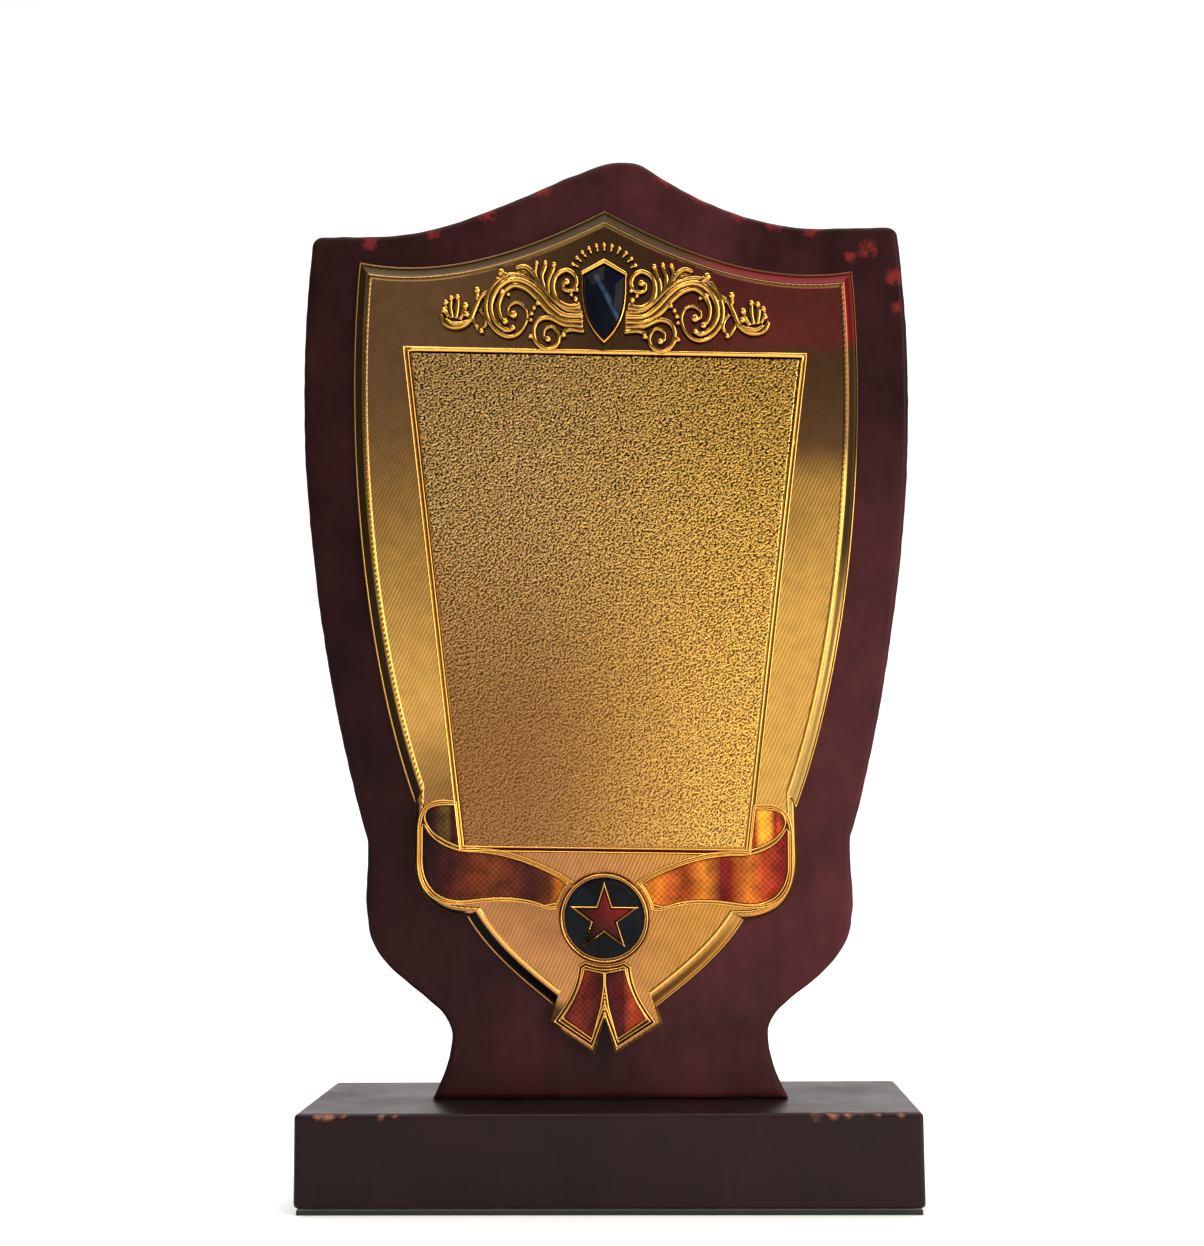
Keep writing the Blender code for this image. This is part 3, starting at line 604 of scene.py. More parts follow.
def fused(obj: Thing, voxel: float, rounds: int) -> Thing:
    """Melts the overlapping parts of a piece into one skin.

    Args:
        obj: the piece.
        voxel: size of the remeshing cells, in millimetres.
        rounds: passes of smoothing.

    Returns:
        The same piece with its new mesh.
    """
    remesh = obj.modifiers.new("melt", "REMESH")
    remesh.mode = "VOXEL"
    remesh.voxel_size = voxel * MM
    soften = obj.modifiers.new("soften", "SMOOTH")
    soften.iterations = rounds
    soften.factor = 0.5
    solid = obj.evaluated_get(bpy.context.evaluated_depsgraph_get())
    mesh = bpy.data.meshes.new_from_object(solid)
    obj.modifiers.clear()
    obj.data = mesh
    mesh.shade_smooth()
    return obj


def seat(piece: Thing, slot: str, *nodes: str) -> Thing:
    """Puts a finished piece on the body in place of its CAD nodes.

    Args:
        piece: the finished piece.
        slot: the kind of finish it takes; gilt trim also has its heights marked.
        nodes: the CAD nodes that it stands in for.

    Returns:
        The same piece.
    """
    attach(piece, ROOT)
    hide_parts(*nodes)
    # Heights of gilt trim let its finish paint shade in the hollows
    if slot == "gilt_trim":
        mark_height(piece, nodes[0])
    LOG.info("%s: %d faces, in place of %s", piece.name, len(piece.data.polygons), ", ".join(nodes))
    return piece


def levels(node: str) -> Point:
    """Front and back levels of a CAD node, in millimetres."""
    low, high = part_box(node)
    return low.y / MM, high.y / MM


# ---- Materials ------------------------------------------------------------------------------

def linear(colour: str) -> tuple[float, float, float, float]:
    """Turns an sRGB hex colour to linear red, green, blue and alpha.

    Args:
        colour: a hash and six hex digits.

    Returns:
        The four linear parts.
    """
    parts = [int(colour[start:start + 2], 16) / 255 for start in (1, 3, 5)]
    red, green, blue = (part / 12.92 if part <= 0.04045 else ((part + 0.055) / 1.055) ** 2.4
                        for part in parts)
    return red, green, blue, 1.0


def per_mm(size: float) -> float:
    """Scale of a pattern in the frame's metres, from its size in millimetres."""
    return 1.0 / (size * MM)


def add(tree: Tree, kind: str, values: "dict | None" = None,
        stops: Sequence[tuple[float, str]] = (), **settings: object) -> Node:
    """Adds one node with its settings and links.

    Args:
        tree: node tree that takes the node.
        kind: Blender's name of the node, without its prefix.
        values: input name or number, with a value or hex colour to set, or an output to link; a
            node stands for its first output that is in use.
        stops: places and colours of a colour ramp.
        settings: properties of the node.

    Returns:
        The new node.
    """
    node = tree.nodes.new("ShaderNode" + kind)
    for name, value in settings.items():
        setattr(node, name, value)
    for name, value in (values or {}).items():
        if isinstance(value, Node):
            value = next(output for output in value.outputs if output.enabled)
        if isinstance(value, Socket):
            tree.links.new(value, node.inputs[name])
        else:
            node.inputs[name].default_value = linear(value) if isinstance(value, str) else value
    for index, (place, colour) in enumerate(stops):
        ramp = node.color_ramp.elements
        stop = ramp[index] if index < 2 else ramp.new(place)
        stop.position, stop.color = place, linear(colour)
    return node


@dataclass(frozen=True)
class Finish(ABC):
    """How one kind of surface looks."""

    name: str

    @abstractmethod
    def shade(self, tree: Tree, place: Socket) -> Node:
        """Adds the finish's nodes and returns its shader; place is the point in the frame."""

    def zone(self, tree: Tree, parts: Node, across: "Point | None", up: "Point | None") -> Node:
        """Tells how far a place lies in a zone of the front, eased at its edges.

        Args:
            tree: node tree that takes the nodes.
            parts: node that splits the place.
            across: where across the front the zone is nothing, and where it is full.
            up: the same for the height.

        Returns:
            The node that gives the share.
        """
        shares = [add(tree, "MapRange", {0: parts.outputs[axis], 1: ends[0] * MM, 2: ends[1] * MM},
                      interpolation_type="SMOOTHSTEP")
                  for axis, ends in (("X", across), ("Z", up)) if ends]
        return add(tree, "Math", dict(enumerate(shares)), operation="MULTIPLY") \
            if len(shares) > 1 else shares[0]

    def laid(self, tree: Tree, parts: Node, under: "str | Node",
             *zones: tuple[str, "Point | None", "Point | None"]) -> "str | Node":
        """Lays colours over one another.

        Args:
            tree: node tree that takes the nodes.
            parts: node that splits the place.
            under: colour that the rest lies on.
            zones: colours with their zones, across and up.

        Returns:
            The node that gives the colour.
        """
        for colour, across, up in zones:
            under = add(tree, "Mix", {0: self.zone(tree, parts, across, up), 6: under, 7: colour},
                        data_type="RGBA")
        return under

    def dress(self, *pieces: Thing) -> None:
        """Gives the finish to pieces or CAD nodes.

        Args:
            pieces: what to dress.
        """
        material = bpy.data.materials.new(self.name)
        material.use_nodes = True
        tree = material.node_tree
        tree.nodes.clear()
        shader = self.shade(tree, add(tree, "TexCoord").outputs["Object"])
        add(tree, "OutputMaterial", {"Surface": shader})
        for piece in pieces:
            piece.data.materials.clear()
            piece.data.materials.append(material)
            for face in piece.data.polygons:
                face.material_index = 0


@dataclass(frozen=True)
class BrushedPaint(Finish):
    """Maroon alkyd gloss brushed over wood: a mottled semi-gloss with soft brush marks and painted
    shade.
    """

    deep: str = "#261113"
    warm: str = "#52262a"
    # Painted shade: how dark the left side and the upper right corner are painted
    shadow: float = 0.3
    corner_shade: float = 0.34
    gloss: float = 0.08
    worn: str = "#752424"
    bare: str = "#8c5438"
    mottle: float = 22.0
    speck: float = 1.6
    peel: float = 1.6
    drag: Point = (2.5, 16.0)
    brush: Point = (0.9, 30.0)
    roughness: float = 0.34

    def stretched(self, tree: Tree, place: Socket, size: Point, detail: float) -> Node:
        """A noise that is longer upwards than across, from its width and length.

        Args:
            tree: node tree that takes the nodes.
            place: point in the frame.
            size: its width and length.
            detail: how fine it is.

        Returns:
            The noise.
        """
        long = add(tree, "Mapping",
                   {"Vector": place, "Scale": (per_mm(size[0]), per_mm(size[0]), per_mm(size[1]))})
        return add(tree, "TexNoise", {"Vector": long, "Scale": 1.0, "Detail": detail})

    def painted_shading(self, tree: Tree, place: Socket) -> Node:
        """Painted shade: how far the paint is darkened on the left and at the upper right, where
        shade falls.

        Args:
            tree: node tree that takes the nodes.
            place: point in the frame.

        Returns:
            The node that gives the share.
        """
        parts = add(tree, "SeparateXYZ", {"Vector": place})
        side, flank, upper = (
            add(tree, "MapRange", {0: parts.outputs[axis], 1: start * MM, 2: end * MM, 3: low})
            for axis, start, end, low in (("X", -45, 25, self.shadow), ("X", 26, 50, 0.0),
                                          ("Z", 120, 168, 0.0)))
        corner = add(tree, "Math", {0: flank, 1: upper}, operation="MULTIPLY")
        dim = add(tree, "MapRange", {0: corner, 3: 1.0, 4: self.corner_shade})
        return add(tree, "Math", {0: side, 1: dim}, operation="MULTIPLY")

    def shade(self, tree: Tree, place: Socket) -> Node:
        """Mottled colour with painted shade, worn and chipped places, orange peel and brush marks."""
        cloud = add(tree, "TexNoise", {"Vector": place, "Scale": per_mm(self.mottle),
                                       "Detail": 5.0, "Roughness": 0.6})
        uneven = add(tree, "Mix", {0: 0.15, 2: cloud, 3: self.stretched(tree, place, self.drag, 3.0)},
                     data_type="FLOAT")
        tone = add(tree, "ValToRGB", {"Fac": uneven}, stops=((0.3, self.deep), (0.7, self.warm)))
        # Painted shade multiplies the mottled colour
        shaded = add(tree, "VectorMath", {0: tone, 1: self.painted_shading(tree, place)}, operation="MULTIPLY")
        worn, chipped, edge = (add(tree, "Attribute", attribute_name=name).outputs["Fac"]
                               for name in ("worn", "chipped", "edge"))
        speck = add(tree, "TexNoise", {"Vector": place, "Scale": per_mm(self.speck),
                                       "Detail": 5.0, "Roughness": 0.75})
        rubbed = add(tree, "Math", {0: worn, 1: speck}, operation="MULTIPLY")
        colour = add(tree, "MapRange", {0: rubbed, 1: 0.32, 2: 0.5, 4: 0.75})
        colour = add(tree, "Mix", {0: colour, 6: shaded, 7: self.worn}, data_type="RGBA")
        colour = add(tree, "Mix", {0: chipped, 6: colour, 7: self.bare}, data_type="RGBA")
        peel = add(tree, "TexNoise", {"Vector": place, "Scale": per_mm(self.peel), "Detail": 2.0})
        marks = add(tree, "Bump", {"Height": self.stretched(tree, place, self.brush, 2.0),
                                   "Strength": 0.25, "Distance": 0.05 * MM})
        skin = add(tree, "Bump", {"Height": peel, "Strength": 0.5, "Distance": 0.06 * MM,
                                  "Normal": marks})
        gloss = add(tree, "MapRange", {0: cloud, 1: 0.3, 2: 0.7, 3: self.roughness - 0.06,
                                       4: self.roughness + 0.12})
        dulled = add(tree, "Math", {0: edge, 1: 0.4, 2: gloss}, operation="MULTIPLY_ADD")
        return add(tree, "BsdfPrincipled", {"Base Color": colour, "Roughness": dulled, "IOR": 1.5,
                                            "Specular IOR Level": self.gloss, "Normal": skin})


@dataclass(frozen=True)
class StampedGilt(Finish):
    """Brass-plated foil stamped with a fine diagonal hatch: a bright metal that breaks into lines,
    with painted reflections and painted shade.
    """

    # Painted dark reflection at the head, with a painted red reflection in its right corner
    head_reflection_left: str = "#a87c54"
    head_reflection_right: str = "#664a32"
    head_red_reflection: str = "#86403a"
    # Gold below the head, with painted shade to the right and at the lower left
    light: str = "#e2ac58"
    light_right: str = "#a58244"
    light_dim: str = "#9a6e3e"
    foot_left: str = "#b98050"
    foot_right: str = "#b2803e"
    # Rolled lines inside the head's painted dark reflection
    line_in_head_reflection: str = "#624d28"
    # The dished rim in painted shade, black low on the left, with a painted red reflection at the
    # upper right
    rim_shade_dark: str = "#35260f"
    rim_shade_black: str = "#0e0d0b"
    rim_red_reflection: str = "#5e1614"
    hatch: float = 0.765
    hatch_slope: float = 65.0
    # How much the hatch's grooves are darkened with painted shade
    hatch_groove_shade: float = 0.3
    roughness: float = 0.22
    # Roughness of the rim where it is painted in shade
    rim_roughness: float = 0.45

    def head_reflection_share(self, tree: Tree, parts: Node) -> Node:
        """How far a place lies in the head's painted dark reflection, which ends higher up on the
        right.

        Args:
            tree: node tree that takes the nodes.
            parts: node that splits the place.

        Returns:
            The node that gives the share.
        """
        middle, spread = (add(tree, "MapRange", {0: parts.outputs["X"], 1: -30 * MM, 2: 40 * MM,
                                                 3: left * MM, 4: right * MM})
                          for left, right in ((153, 155), (27, 6)))
        above = add(tree, "Math", {0: parts.outputs["Z"], 1: middle}, operation="SUBTRACT")
        share = add(tree, "Math", {0: above, 1: spread}, operation="DIVIDE")
        return add(tree, "MapRange", {0: share, 1: -1.0, 2: 1.0}, interpolation_type="SMOOTHSTEP")

    def field_colour(self, tree: Tree, parts: Node, head: Node) -> Node:
        """Colour of the flat field: a bronze painted dark reflection at the head, with a painted red
        reflection in its right corner, gold below with painted shade to the right and at the lower
        left, and coppery at the foot.

        Args:
            tree: node tree that takes the nodes.
            parts: node that splits the place.
            head: share of the head's painted dark reflection.

        Returns:
            The node that gives the colour.
        """
        dark = self.laid(tree, parts, self.head_reflection_left, (self.head_reflection_right, (-42, 4), None),
                         (self.head_red_reflection, (5, 25), (178, 184)))
        clear = self.laid(tree, parts, self.light, (self.light_right, (-30, 40), None),
                          (self.light_dim, (10, -20), (104, 84)))
        foot = self.laid(tree, parts, self.foot_left, (self.foot_right, (-5, 20), None))
        upper = add(tree, "Mix", {0: head, 6: clear, 7: dark}, data_type="RGBA")
        return add(tree, "Mix", {0: self.zone(tree, parts, None, (78, 70)), 6: upper, 7: foot},
                   data_type="RGBA")

    def hatched(self, tree: Tree, place: Socket, field_share: Socket, head: Node) -> Node:
        """Height of the hatch, between -1 and 1, fainter in the head.

        Args:
            tree: node tree that takes the nodes.
            place: point in the frame.
            field_share: how far a place lies in the flat field.
            head: share of the head's painted dark reflection.

        Returns:
            The node that gives the height.
        """
        slope = math.radians(self.hatch_slope)
        across = add(tree, "VectorMath", {0: place, 1: (math.sin(slope), 0.0, -math.cos(slope))},
                     operation="DOT_PRODUCT")
        turns = add(tree, "Math", {0: across, 1: 2 * math.pi * per_mm(self.hatch)},
                    operation="MULTIPLY")
        wave = add(tree, "Math", {0: turns}, operation="SINE")
        faint = add(tree, "MapRange", {0: head, 3: 1.0, 4: 0.35})
        shown = add(tree, "Math", {0: field_share, 1: faint}, operation="MULTIPLY")
        return add(tree, "Math", {0: wave, 1: shown}, operation="MULTIPLY")

    def shade(self, tree: Tree, place: Socket) -> Node:
        """The field's colours with their hatch, the rim in painted shade and reflections, and the
        bright rolled lines.
        """
        parts = add(tree, "SeparateXYZ", {"Vector": place})
        flat, rim, line = (add(tree, "Attribute", attribute_name=name).outputs["Fac"]
                           for name in ("field", "rim", "line"))
        head = self.head_reflection_share(tree, parts)
        gold = self.field_colour(tree, parts, head)
        etched = self.hatched(tree, place, flat, head)
        # Painted shade in the hatch's grooves: the colour darkens where the hatch sinks
        lines = add(tree, "MapRange", {0: etched, 1: -1.0, 2: 1.0, 3: 1.0 - self.hatch_groove_shade,
                                       4: 1.0})
        wear = add(tree, "TexNoise", {"Vector": place, "Scale": per_mm(3.0), "Detail": 4.0,
                                      "Roughness": 0.65})
        worn = add(tree, "MapRange", {0: wear, 1: 0.3, 2: 0.7, 3: 0.84, 4: 1.08})
        dim = add(tree, "Math", {0: lines, 1: worn}, operation="MULTIPLY")
        hatched = add(tree, "VectorMath", {0: gold, 1: dim}, operation="MULTIPLY")
        # Painted shade on the rim, gold only where the rim catches light low on the right
        rim_painted = self.laid(tree, parts, self.rim_shade_dark, (self.rim_shade_black, (8, -6), (120, 66)),
                            (self.rim_red_reflection, (14, 30), (180, 184)))
        rim_catching_light = self.zone(tree, parts, (4, 12), (140, 112))
        dished = add(tree, "Mix", {0: rim_catching_light, 6: rim_painted, 7: gold}, data_type="RGBA")
        colour = add(tree, "Mix", {0: rim, 6: hatched, 7: dished}, data_type="RGBA")
        # Rolled lines darken inside the head's painted dark reflection
        rolled = add(tree, "Mix", {0: head, 6: self.light, 7: self.line_in_head_reflection}, data_type="RGBA")
        colour = add(tree, "Mix", {0: line, 6: colour, 7: rolled}, data_type="RGBA")
        ridge = add(tree, "Bump", {"Height": etched, "Strength": 0.4, "Distance": 0.01 * MM})
        # Where the rim is painted in shade it is less metallic and rougher
        not_catching_light = add(tree, "Math", {0: 1.0, 1: rim_catching_light}, operation="SUBTRACT")
        rim_shade_share = add(tree, "Math", {0: rim, 1: not_catching_light}, operation="MULTIPLY")
        low = add(tree, "Math", {0: rim, 1: self.zone(tree, parts, (4, 12), (60, 54))},
                  operation="MULTIPLY")
        dulled = add(tree, "Math", {0: rim_shade_share, 1: low}, operation="MAXIMUM")
        metal = add(tree, "MapRange", {0: rim_shade_share, 3: 1.0, 4: 0.6})
        rough = add(tree, "MapRange", {0: dulled, 3: self.roughness, 4: self.rim_roughness})
        return add(tree, "BsdfPrincipled", {"Base Color": colour, "Metallic": metal,
                                            "Roughness": rough, "Specular IOR Level": 0.12,
                                            "Normal": ridge})


@dataclass(frozen=True)
class PolishedGilt(Finish):
    """Brass plating buffed on the raised work: mirror-bright crests over hollows in painted shade."""

    crest: str = "#dca954"
    # Painted shade in the hollows, creases and low sides
    hollow: str = "#20120a"
    roughness: float = 0.17
    low: float = 0.25
    high: float = 0.72

    def shade(self, tree: Tree, place: Socket) -> Node:
        """Bright crests and hollows in painted shade, told apart by height and by how far a place
        stands out.
        """
        height = add(tree, "Attribute", attribute_name="height").outputs["Fac"]
        form = add(tree, "NewGeometry").outputs["Pointiness"]
        crease = add(tree, "MapRange", {0: form, 1: 0.45, 2: 0.52, 3: 0.15, 4: 1.0})
        worth = add(tree, "Math", {0: height, 1: crease}, operation="MULTIPLY")
        ramp = add(tree, "ValToRGB", {"Fac": worth},
                   stops=((self.low, self.hollow), (self.high, self.crest)))
        wear = add(tree, "TexNoise", {"Vector": place, "Scale": per_mm(1.5), "Detail": 3.0})
        rough = add(tree, "MapRange", {0: wear, 1: 0.3, 2: 0.7, 3: self.roughness - 0.05,
                                       4: self.roughness + 0.08})
        return add(tree, "BsdfPrincipled", {"Base Color": ramp, "Metallic": 1.0, "Roughness": rough})


@dataclass(frozen=True)
class GrainedGilt(Finish):
    """Brass plating over a sand-grained stamping: a glitter of small crests and pits in painted
    shade.
    """

    crest_left: str = "#e2b872"
    # Painted light and shade across the plate: darker below, brighter on the right
    crest_low: str = "#996c42"
    crest_right: str = "#e4b65c"
    pit_shade: str = "#1f1408"
    lower_pits_shade: str = "#6e4b24"
    roughness: float = 0.26
    grain: float = 0.42
    # Painted shade towards the top of the plate
    top_shade: float = 0.78

    def shade(self, tree: Tree, place: Socket) -> Node:
        """Gold on the crests, painted shade in the pits and across the plate, and a finer grain than
        the mesh has.
        """
        parts = add(tree, "SeparateXYZ", {"Vector": place})
        lower = (170, 90)
        gold = self.laid(tree, parts, self.crest_left, (self.crest_low, None, lower),
                         (self.crest_right, (-20, 34), None))
        # Painted shade in the pits, lighter below
        pit_shade = self.laid(tree, parts, self.pit_shade, (self.lower_pits_shade, None, lower))
        shade = add(tree, "MapRange", {0: parts.outputs["Z"], 1: 140 * MM, 2: 185 * MM, 3: 1.0,
                                       4: self.top_shade})
        dimmed = add(tree, "VectorMath", {0: gold, 1: shade}, operation="MULTIPLY")
        depth = add(tree, "Attribute", attribute_name="height").outputs["Fac"]
        fine = add(tree, "TexNoise", {"Vector": place, "Scale": per_mm(self.grain), "Detail": 1.0})
        speckle = add(tree, "MapRange", {0: fine, 1: 0.35, 2: 0.65, 3: -0.35, 4: 0.35})
        worth = add(tree, "Math", {0: depth, 1: speckle}, operation="ADD")
        share = add(tree, "MapRange", {0: worth, 1: 0.24, 2: 0.6})
        colour = add(tree, "Mix", {0: share, 6: pit_shade, 7: dimmed}, data_type="RGBA")
        bump = add(tree, "Bump", {"Height": fine, "Strength": 0.8, "Distance": 0.12 * MM})
        return add(tree, "BsdfPrincipled", {"Base Color": colour, "Metallic": 1.0,
                                            "Roughness": self.roughness, "Normal": bump})


class FoldShading(Enum):
    """The ribbon's own reds and oranges with painted shade and painted reflections of its folds, as
    colours across a piece from the left.
    """

    BAND_LEFT = ((-38.5, "#1c0d10"), (-34.0, "#3a1414"), (-29.0, "#5d2a18"), (-24.0, "#6b3418"),
                 (-20.0, "#4e2016"), (-16.0, "#3f1a18"), (-12.5, "#5a2a14"), (-10.5, "#a55a1e"))
    BAND_RIGHT = ((9.5, "#c06c1e"), (13.0, "#a8501c"), (17.0, "#a0441c"), (20.5, "#c27222"),
                  (24.0, "#641812"), (26.0, "#781e14"), (30.0, "#c46c20"), (33.0, "#a03a1a"),
                  (37.5, "#6a1618"))
    FOLD_LEFT = ((-38.5, "#1c0c10"), (-36.4, "#3a1614"), (-35.0, "#54401c"), (-34.2, "#5e481e"),
                 (-33.2, "#301014"), (-32.0, "#4c1a14"), (-30.8, "#6a2a16"))
    FOLD_RIGHT = ((30.0, "#b0501c"), (31.3, "#8c2c18"), (32.4, "#f0a030"), (34.6, "#d8902c"),
                  (35.6, "#8c2018"), (36.4, "#b8481c"), (37.5, "#6a1616"))
    TAILS = ((-9.0, "#4a1614"), (-6.0, "#6a2418"), (-3.0, "#4a1614"), (0.0, "#3a1014"),
             (3.0, "#4a1614"), (5.0, "#a03c20"), (8.5, "#5a1a16"))


@dataclass(frozen=True)
class WovenEnamel(Finish):
    """Translucent lacquer over a woven check: deep colour with painted reflections where the folds
    turn.
    """

    # Colours with painted shade and reflections of the folds
    fold_shading: FoldShading = FoldShading.BAND_RIGHT
    check: float = 0.65
    contrast: float = 0.4
    blotch: float = 4.5

    def shade(self, tree: Tree, place: Socket) -> Node:
        """Painted shade and reflections of folds across the piece, broken by a small check, under a
        clear coat.
        """
        parts = add(tree, "SeparateXYZ", {"Vector": place})
        first, last = self.fold_shading.value[0][0], self.fold_shading.value[-1][0]
        share = add(tree, "MapRange", {0: parts.outputs["X"], 1: first * MM, 2: last * MM})
        stops = [((across - first) / (last - first), colour) for across, colour in self.fold_shading.value]
        fold = add(tree, "ValToRGB", {"Fac": share}, stops=stops)
        face = add(tree, "VectorMath", {0: place, 1: (1.0, 0.0, 1.0)}, operation="MULTIPLY")
        check = add(tree, "TexChecker", {"Vector": face, "Scale": per_mm(self.check),
                                         "Color1": "#ffffff", "Color2": "#000000"})
        blur = add(tree, "TexNoise", {"Vector": place, "Scale": per_mm(1.3)})
        weave = add(tree, "Math", {0: check.outputs["Fac"], 1: blur}, operation="MULTIPLY")
        dark = add(tree, "MapRange", {0: weave, 1: 0.0, 2: 0.6, 3: 1.0, 4: 1.0 - self.contrast})
        cloud = add(tree, "TexNoise", {"Vector": place, "Scale": per_mm(self.blotch),
                                       "Detail": 2.0})
        pool = add(tree, "MapRange", {0: cloud, 1: 0.3, 2: 0.7, 3: 0.6, 4: 1.6})
        shown = add(tree, "Math", {0: dark, 1: pool}, operation="MULTIPLY")
        colour = add(tree, "VectorMath", {0: fold, 1: shown}, operation="MULTIPLY")
        bump = add(tree, "Bump", {"Height": weave, "Strength": 0.4, "Distance": 0.04 * MM})
        return add(tree, "BsdfPrincipled", {"Base Color": colour, "Metallic": 0.4,
                                            "Roughness": 0.35, "Specular IOR Level": 0.08,
                                            "Coat Weight": 0.05, "Coat Roughness": 0.1,
                                            "Normal": bump})


@dataclass(frozen=True)
class StarEnamel(Finish):
    """Translucent red lacquer pooled in a cell, with a painted highlight that fades into painted
    shade.
    """

    # Painted highlight, middle red and painted shade
    bright: str = "#8a1c1a"
    middle: str = "#5a0e0e"
    deep: str = "#10060a"
    highlight_centre: tuple[float, float, float] = (3.0, -10.4, 62.0)
    reach: float = 9.5

    def shade(self, tree: Tree, place: Socket) -> Node:
        """Red that fades from a painted highlight at one place into painted shade."""
        away = add(tree, "VectorMath", {0: place, 1: tuple(part * MM for part in self.highlight_centre)},
                   operation="DISTANCE")
        share = add(tree, "MapRange", {0: away, 1: 0.0, 2: self.reach * MM})
        ramp = add(tree, "ValToRGB", {"Fac": share},
                   stops=((0.0, self.bright), (1.0, self.deep), (0.4, self.middle)))
        return add(tree, "BsdfPrincipled", {"Base Color": ramp, "Roughness": 0.3,
                                            "Specular IOR Level": 0.08, "Coat Weight": 0.05,
                                            "Coat Roughness": 0.08})


@dataclass(frozen=True)
class BlackLacquer(Finish):
    """Stoved black lacquer: a hard gloss with a faint blue bloom."""

    colour: str = "#07080b"
    bloom: str = "#0e141b"

    def shade(self, tree: Tree, place: Socket) -> Node:
        """Black with a cloudy bloom and light dust in the gloss."""
        cloud = add(tree, "TexNoise", {"Vector": place, "Scale": per_mm(6.0), "Detail": 3.0})
        tone = add(tree, "ValToRGB", {"Fac": cloud}, stops=((0.35, self.colour), (0.7, self.bloom)))
        rough = add(tree, "MapRange", {0: cloud, 1: 0.3, 2: 0.7, 3: 0.14, 4: 0.26})
        return add(tree, "BsdfPrincipled", {"Base Color": tone, "Roughness": rough,
                                            "Specular IOR Level": 0.08})


@dataclass(frozen=True)
class NavyGlass(Finish):
    """Cut and foiled navy glass: near black, with one pale painted reflection along a facet."""

    body: str = "#0a0e18"
    # Painted reflection along a facet
    reflection_streak: str = "#33445c"
    start: Point = (-1.2, 197.0)
    slope: float = 116.0
    width: float = 0.9

    def shade(self, tree: Tree, place: Socket) -> Node:
        """Dark glass with a soft painted reflection streak that fades away from its middle."""
        turn = math.radians(self.slope)
        normal = (math.sin(turn), 0.0, -math.cos(turn))
        offset = self.start[0] * normal[0] + self.start[1] * normal[2]
        across = add(tree, "VectorMath", {0: place, 1: normal}, operation="DOT_PRODUCT")
        away = add(tree, "Math", {0: across, 1: offset * MM}, operation="SUBTRACT")
        distance = add(tree, "Math", {0: away}, operation="ABSOLUTE")
        streak = add(tree, "MapRange", {0: distance, 1: self.width * MM, 2: 0.0},
                     interpolation_type="SMOOTHSTEP")
        cloud = add(tree, "TexNoise", {"Vector": place, "Scale": per_mm(2.6), "Detail": 2.0})
        patch = add(tree, "MapRange", {0: cloud, 1: 0.4, 2: 0.62})
        share = add(tree, "Math", {0: streak, 1: patch}, operation="MULTIPLY")
        colour = add(tree, "Mix", {0: share, 6: self.body, 7: self.reflection_streak}, data_type="RGBA")
        return add(tree, "BsdfPrincipled", {"Base Color": colour, "Roughness": 0.16, "IOR": 1.52,
                                            "Specular IOR Level": 0.06})


@dataclass(frozen=True)
class WoolFelt(Finish):
    """Pressed dark green felt: matt, with a soft edge of fibre."""

    colour: str = "#0e1512"
    fibre: str = "#1a2520"

    def shade(self, tree: Tree, place: Socket) -> Node:
        """Fibres in two greens with a sheen."""
        fibres = add(tree, "TexNoise", {"Vector": place, "Scale": per_mm(0.8), "Detail": 4.0,
                                        "Roughness": 0.7})
        tone = add(tree, "ValToRGB", {"Fac": fibres}, stops=((0.3, self.colour), (0.7, self.fibre)))
        bump = add(tree, "Bump", {"Height": fibres, "Strength": 0.8, "Distance": 0.2 * MM})
        return add(tree, "BsdfPrincipled", {"Base Color": tone, "Roughness": 0.95,
                                            "Sheen Weight": 0.4, "Sheen Roughness": 0.5,
                                            "Normal": bump})


@dataclass(frozen=True)
class ZincPlate(Finish):
    """Zinc-plated steel wood screws: a dull bluish metal with drawn lines."""

    colour: str = "#a9adb0"

    def shade(self, tree: Tree, place: Socket) -> Node:
        """Grey metal with spots in its gloss."""
        spots = add(tree, "TexNoise", {"Vector": place, "Scale": per_mm(1.0), "Detail": 3.0})
        rough = add(tree, "MapRange", {0: spots, 3: 0.3, 4: 0.5})
        return add(tree, "BsdfPrincipled", {"Base Color": self.colour, "Metallic": 1.0,
                                            "Roughness": rough})


@dataclass(frozen=True)
class FoamTape(Finish):
    """White closed-cell foam tape: a matt, finely pitted edge."""

    colour: str = "#dedbd2"

    def shade(self, tree: Tree, place: Socket) -> Node:
        """Off-white foam with its cells."""
        cells = add(tree, "TexVoronoi", {"Vector": place, "Scale": per_mm(0.5)})
        bump = add(tree, "Bump", {"Height": cells, "Strength": 0.5, "Distance": 0.1 * MM})
        return add(tree, "BsdfPrincipled", {"Base Color": self.colour, "Roughness": 0.9,
                                            "Normal": bump})


# ---- Sub-assemblies -------------------------------------------------------------------------

def points_of(piece: Thing) -> np.ndarray:
    """The piece's vertices, in millimetres."""
    places = np.zeros(len(piece.data.vertices) * 3)
    piece.data.vertices.foreach_get("co", places)
    return places.reshape(-1, 3) / MM


def mark(piece: Thing, name: str, amounts: np.ndarray) -> None:
    """Stores one amount for each vertex of a piece, for its material to read."""
    attribute = piece.data.attributes.new(name, "FLOAT", "POINT")
    attribute.data.foreach_set("value", np.asarray(amounts, np.float32))


def fade(values: np.ndarray, full: float, gone: float) -> np.ndarray:
    """One at the full value, easing to nothing at the other."""
    share = np.clip((values - gone) / (full - gone), 0.0, 1.0)
    return share * share * (3 - 2 * share)


